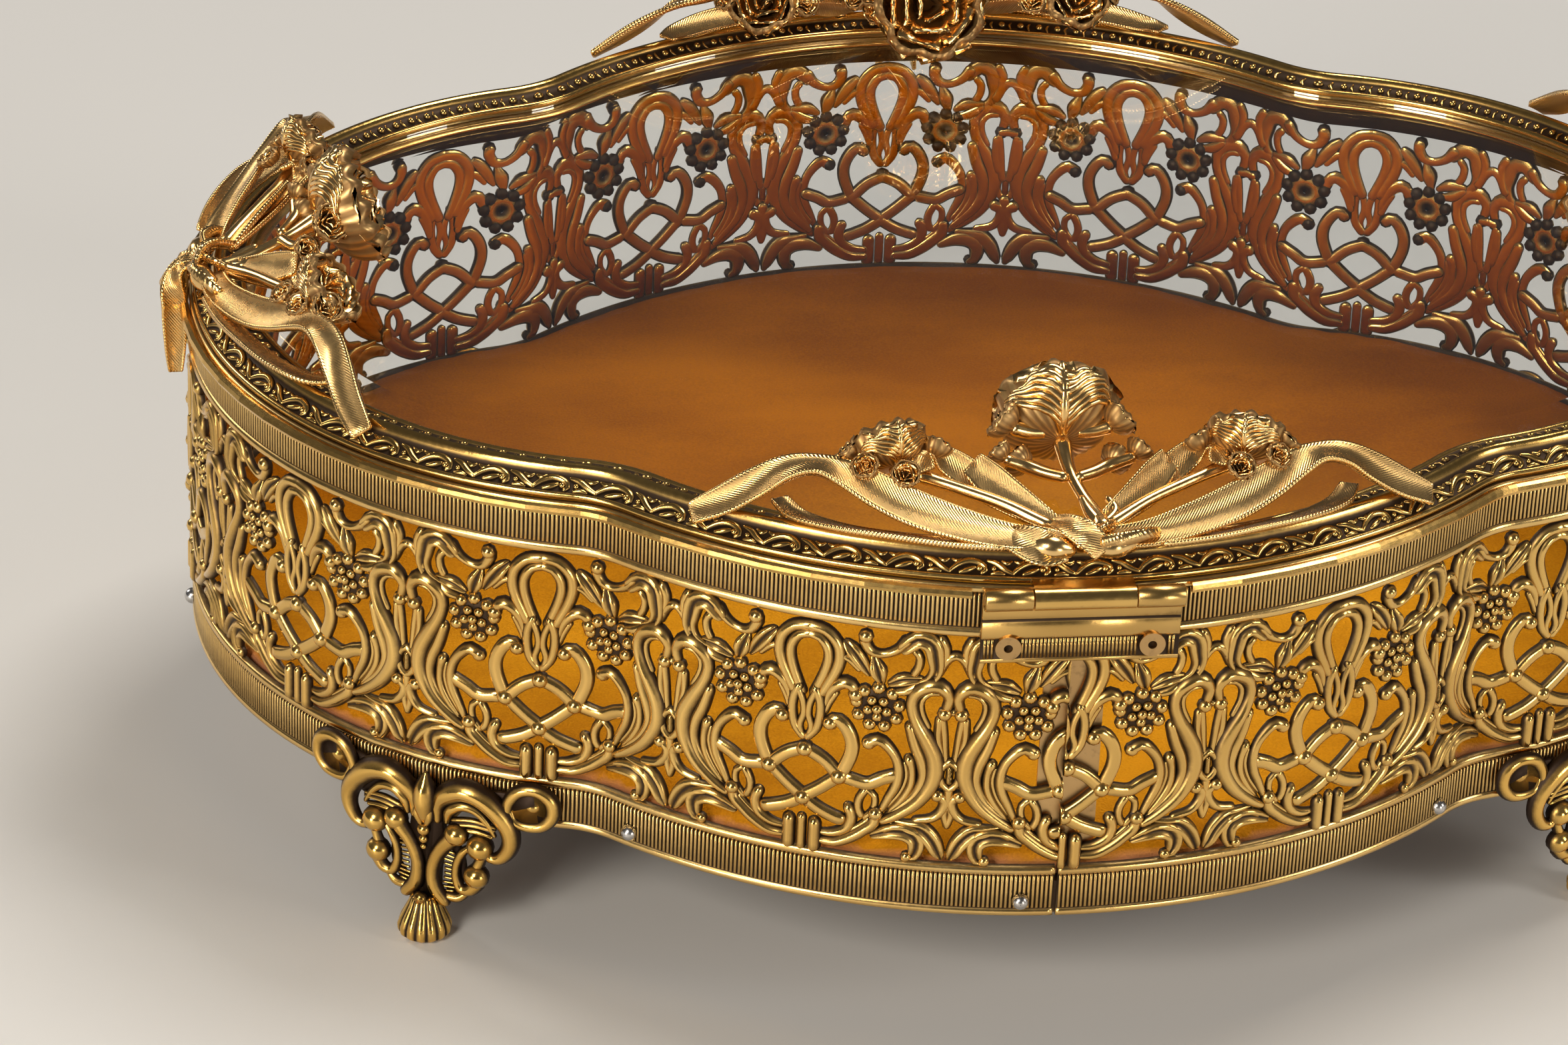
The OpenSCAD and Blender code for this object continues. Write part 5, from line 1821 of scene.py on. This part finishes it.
@dataclass
class CaseLeaf:
    """The case's hinge leaf: a pressed plate with a step, a groove, a reeded foot and two knuckles."""

    half: float = 14.5
    knuckle_half: float = 7.5
    knuckle_r: float = 1.7
    bore: float = 0.85
    pin_r: float = 0.8
    eyelet_x: float = 10.5
    eyelet_r: float = 2.1
    reed_pitch: float = 0.55

    def build(self) -> None:
        """Makes the leaf from the frame's own box."""
        bottom = box_mm("hinge_case_leaf")[0][2]
        face = box_mm("hinge_case_eyelets")[0][1] + 0.52
        back = face + 0.8
        pin_y, pin_z = (float(c) + self.pin_r for c in box_mm("hinge_pin")[0][1:])
        z_top = pin_z - 0.9
        relief = Relief()
        steps = [(face + 0.05, bottom), (face - 0.06, bottom + 0.12), (face - 0.1, bottom + 0.5),
            (face + 0.02, bottom + 0.62), (face + 0.1, bottom + 0.7), (face + 0.1, bottom + 3.9),
            (face - 0.05, bottom + 4.05), (face - 0.22, bottom + 4.4), (face - 0.22, bottom + 6.7),
            (face - 0.02, bottom + 6.9), (face - 0.02, bottom + 7.2), (face - 0.22, bottom + 7.4),
            (face - 0.25, z_top - 0.4), (face - 0.1, z_top)]
        tones = [0.6, 1.0, 1.0, 0.5, 0.15, 0.15, 0.9, 1.0, 0.9, 0.1, 0.1, 1.0, 0.9, 0.9]
        profile = [*steps, (back, z_top), (back, bottom)]
        levels = [*tones, 0.5, 0.5]
        rows, values = [], []
        for x, k in ((-self.half, 0.7), (-self.half + 0.15, 1), (self.half - 0.15, 1), (self.half, 0.7)):
            rows.append([[x, back + (y - back) * k, z] for y, z in profile])
            values.append(levels)
        relief.grid(np.array(rows), np.array(values), around=True, caps=True)
        span = self.half - 0.6
        for x in np.arange(-span, span, self.reed_pitch):
            if abs(abs(x) - self.eyelet_x) < self.eyelet_r:
                continue
            ring = [(-0.2, face + 0.14, 0.1), (-0.12, face - 0.04, 1), (0.12, face - 0.04, 1),
                (0.2, face + 0.14, 0.1)]
            reed = [[[x + dx, y, z] for dx, y, _ in ring] for z in (bottom + 0.75, bottom + 3.85)]
            relief.grid(np.array(reed), np.array([[r for _, _, r in ring]] * 2), around=True, caps=True)
        for a, b in ((-self.half, -self.knuckle_half), (self.knuckle_half, self.half)):
            self.knuckle(relief, a, b, pin_y, pin_z)
        piece = relief.object("stepped_leaf", LEAF)
        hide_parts("hinge_case_leaf")
        report(piece, "case")

    def knuckle(self, relief: Relief, a: float, b: float, y: float, z: float) -> None:
        """A bored barrel from x = a to x = b with softened rims.

        Args:
            relief: where it goes.
            a: its lower end.
            b: its upper end.
            y: its axis.
            z: its axis.
        """
        angles = np.linspace(0, 2 * np.pi, 40, endpoint=False)
        rows = []
        for x, r in ((a, self.bore), (a, self.knuckle_r - 0.15), (a + 0.15, self.knuckle_r),
            (b - 0.15, self.knuckle_r), (b, self.knuckle_r - 0.15), (b, self.bore)):
            rows.append(np.column_stack([np.full(40, x), y + r * np.cos(angles), z + r * np.sin(angles)]))
        relief.grid(np.array(rows), 0.85, around=True, loop=True)


# ---- lining


@dataclass
class Lining:
    """The padded velvet floor."""

    inset: float = 1.3
    base: float = 27.6
    thick: float = 3.9
    voxel: float = 2.2
    pressure: float = 4.0
    rise: float = 1.1
    lit_end: float = 20.0
    lit_w: float = 45.0

    def shell(self) -> bpy.types.Object:
        """A slightly small closed slab with a rounded upper edge.

        Returns:
            The slab, before it is swollen.
        """
        relief = Relief()
        s = np.linspace(0, PLAN.around, 320, endpoint=False)
        rings = [(self.inset, 0), (self.inset, self.thick * 0.5), (self.inset + 0.5, self.thick * 0.82),
            (self.inset + 1.6, self.thick)]
        rows = [np.column_stack([PLAN.at(s, -d), np.full(len(s), self.base + z)]) for d, z in rings]
        relief.grid(np.array(rows), 0.0, around=True, caps=True)
        return relief.object("velvet_pad")

    def build(self) -> None:
        pad = self.shell()
        bpy.context.view_layer.objects.active = pad
        remesh = pad.modifiers.new("remesh", "REMESH")
        remesh.mode, remesh.voxel_size = "VOXEL", self.voxel * MM
        pad = baked(pad, "velvet_pad")
        start = np.array([v.co[:] for v in pad.data.vertices])
        end = self.swollen(pad)
        move = np.clip(end - start, -self.rise * MM, self.rise * MM)
        move[:, :2] = 0
        # a stuffed pad is softly uneven: low pulls where the lining is caught down at its edge
        place = start / MM
        shape = np.array([noise.noise(Vector((x / 34, y / 30, 1.7))) for x, y, _ in place])
        fine = np.array([noise.noise(Vector((x / 9, y / 14, 5.1))) for x, y, _ in place])
        upper = np.clip((place[:, 2] - self.base) / self.thick - 0.5, 0, 0.5) * 2
        move[:, 2] = np.clip(move[:, 2], 0, None) + MM * upper * (0.35 * shape + 0.1 * fine)
        done = start + move
        pad.data.vertices.foreach_set("co", done.reshape(-1).astype(np.float32))
        # the sides of the pad, below its top, take the paler colour of the painted sheen
        edge = np.clip(1 - upper * 1.5, 0, 1)
        # painted light and shade: the pad is painted lighter towards the hinge side, where light comes in through the
        # gallery, and darker towards the other, as if in shadow
        lit_share = np.clip((self.lit_end - place[:, 1]) / self.lit_w, 0, 1)
        for name, values in (("edge", edge), ("lit_share", lit_share)):
            attribute = pad.data.attributes.new(name, "FLOAT", "POINT")
            attribute.data.foreach_set("value", values.astype(np.float32))
        smooth = pad.modifiers.new("soften", "SUBSURF")
        smooth.levels = smooth.render_levels = 1
        pad = baked(pad, "velvet_pad")
        pad.data.materials.clear()
        pad.data.materials.append(VELVET.material())
        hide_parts("lining_pad")
        report(pad, "case")

    def swollen(self, pad: bpy.types.Object) -> np.ndarray:
        """Runs the cloth and returns its places on frame 20.

        Args:
            pad: the slab, which is left as it was.

        Returns:
            Rows of x, y, z in metres.
        """
        cloth = pad.modifiers.new("swell", "CLOTH")
        cloth.settings.use_pressure = True
        cloth.settings.uniform_pressure_force = self.pressure
        cloth.settings.effector_weights.gravity = 0
        cloth.settings.quality = 5
        cloth.point_cache.frame_start, cloth.point_cache.frame_end = 1, 20
        scene = bpy.context.scene
        for step in range(1, 21):
            scene.frame_set(step)
        graph = bpy.context.evaluated_depsgraph_get()
        mesh = pad.evaluated_get(graph).to_mesh()
        places = np.array([v.co[:] for v in mesh.vertices])
        pad.evaluated_get(graph).to_mesh_clear()
        pad.modifiers.remove(cloth)
        scene.frame_set(1)
        return places


# ---- stage


@dataclass
class Stage:
    """Floor, lights and camera."""

    target: Point = (-33.6, -26.1, 50.0)
    azimuth: float = -8.02
    elevation: float = 29.28
    roll: float = 2.45
    distance: float = 928.0
    lens: float = 137.7

    def build_floor(self) -> None:
        """A wide pale floor at the height of the feet."""
        mesh = bpy.data.meshes.new("floor")
        work = bmesh.new()
        bmesh.ops.create_grid(work, x_segments=1, y_segments=1, size=4.0)
        work.to_mesh(mesh)
        work.free()
        floor = linked("floor", mesh)
        mesh.materials.append(GROUND.material())

    def build_camera(self) -> None:
        """The camera, from its bearing, height angle, roll and distance."""
        az, el, roll = (math.radians(v) for v in (self.azimuth, self.elevation, self.roll))
        back = Vector((math.sin(az) * math.cos(el), -math.cos(az) * math.cos(el), math.sin(el)))
        level = Vector((math.cos(az), math.sin(az), 0))
        upright = back.cross(level)
        right = level * math.cos(roll) + upright * math.sin(roll)
        up = back.cross(right)
        data = bpy.data.cameras.new("camera")
        data.lens, data.sensor_width, data.clip_start, data.clip_end = self.lens, 36.0, 0.01, 20.0
        camera = linked("camera", data)
        turn = Matrix((right, up, back)).transposed().to_4x4()
        camera.matrix_world = Matrix.Translation(Vector(self.target) * MM + back * self.distance * MM) @ turn
        bpy.context.scene.camera = camera

    @staticmethod
    def lamp(name: str, place: Point, aim: Point, size: tuple[float, float], power: float, shade: Point) -> None:
        """Adds one soft area light aimed at a point.

        Args:
            name: its name.
            place: where it is, in metres.
            aim: what it looks at, in metres.
            size: its width and height, in metres.
            power: its power in watts.
            shade: its colour.
        """
        data = bpy.data.lights.new(name, "AREA")
        data.shape, data.size, data.size_y, data.energy, data.color = "RECTANGLE", *size, power, shade
        lamp = linked(name, data)
        way = Vector(aim) - Vector(place)
        lamp.matrix_world = Matrix.Translation(Vector(place)) @ way.to_track_quat("-Z", "Y").to_matrix().to_4x4()

    def build_lights(self) -> None:
        """A broad key from the upper left, a fill from the right, a rim from behind and a dim room."""
        centre = (0.0, 0.0, 0.05)
        self.lamp("key", (-0.75, -0.95, 0.75), centre, (0.35, 0.5), 9, (1.0, 0.93, 0.82))
        self.lamp("fill", (1.1, -0.6, 0.55), centre, (0.3, 0.5), 4, (1.0, 0.95, 0.88))
        self.lamp("rim", (-1.1, 0.9, 0.8), centre, (0.35, 0.6), 6, (1.0, 0.95, 0.88))
        self.lamp("top", (0.35, 0.35, 1.3), centre, (0.5, 0.5), 9, (1.0, 0.95, 0.88))
        self.lamp("low_left", (-0.95, -0.85, 0.16), centre, (0.3, 0.22), 3.5, (1.0, 0.94, 0.84))
        self.lamp("low_right", (0.55, -1.1, 0.16), centre, (0.22, 0.22), 2.2, (1.0, 0.94, 0.84))
        world = bpy.data.worlds.new("room")
        world.use_nodes = True
        tree = Tree(world.node_tree)
        back = tree.add("ShaderNodeBackground", {}, {"Color": (0.95, 0.95, 1.0, 1), "Strength": 0.07})
        tree.add("ShaderNodeOutputWorld", {}, {"Surface": back.outputs[0]})
        bpy.context.scene.world = world
        bpy.context.scene.view_settings.view_transform = "Standard"

    def build(self) -> None:
        """Sets the whole stage."""
        self.build_camera()
        self.build_floor()
        self.build_lights()


def dress_cad(finishes: dict[Finish, Sequence[str]]) -> None:
    """Gives carried-over CAD nodes their finishes.

    Args:
        finishes: the nodes that each finish goes on.
    """
    for finish, nodes in finishes.items():
        for name in nodes:
            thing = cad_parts[name]
            thing.data.materials.clear()
            thing.data.materials.append(finish.material())


def main() -> None:
    """Builds the stage, the case and the lid in order."""
    logging.basicConfig(level=logging.INFO, format="%(message)s")
    Stage().build()
    dress_cad({
        PLAIN: ["rim_wire", "hinge_lid_leaf"],
        WORN: ["seam_splice", "foot_screws", "hinge_pin", "hinge_lid_rivets", "hinge_case_eyelets",
            "ornament_rivets"],
        PIN: ["band_nails"],
        BOARD: ["base_board"],
        FELT: ["underside_felt"],})
    Lining().build()
    array = WallArray()
    Gallery().build(array)
    Lid().build(array)
    array.done()
    Foot().build()
    CaseLeaf().build()
    for side in SIDES:
        Bow(side).build()


if __name__ == "__main__":
    main()
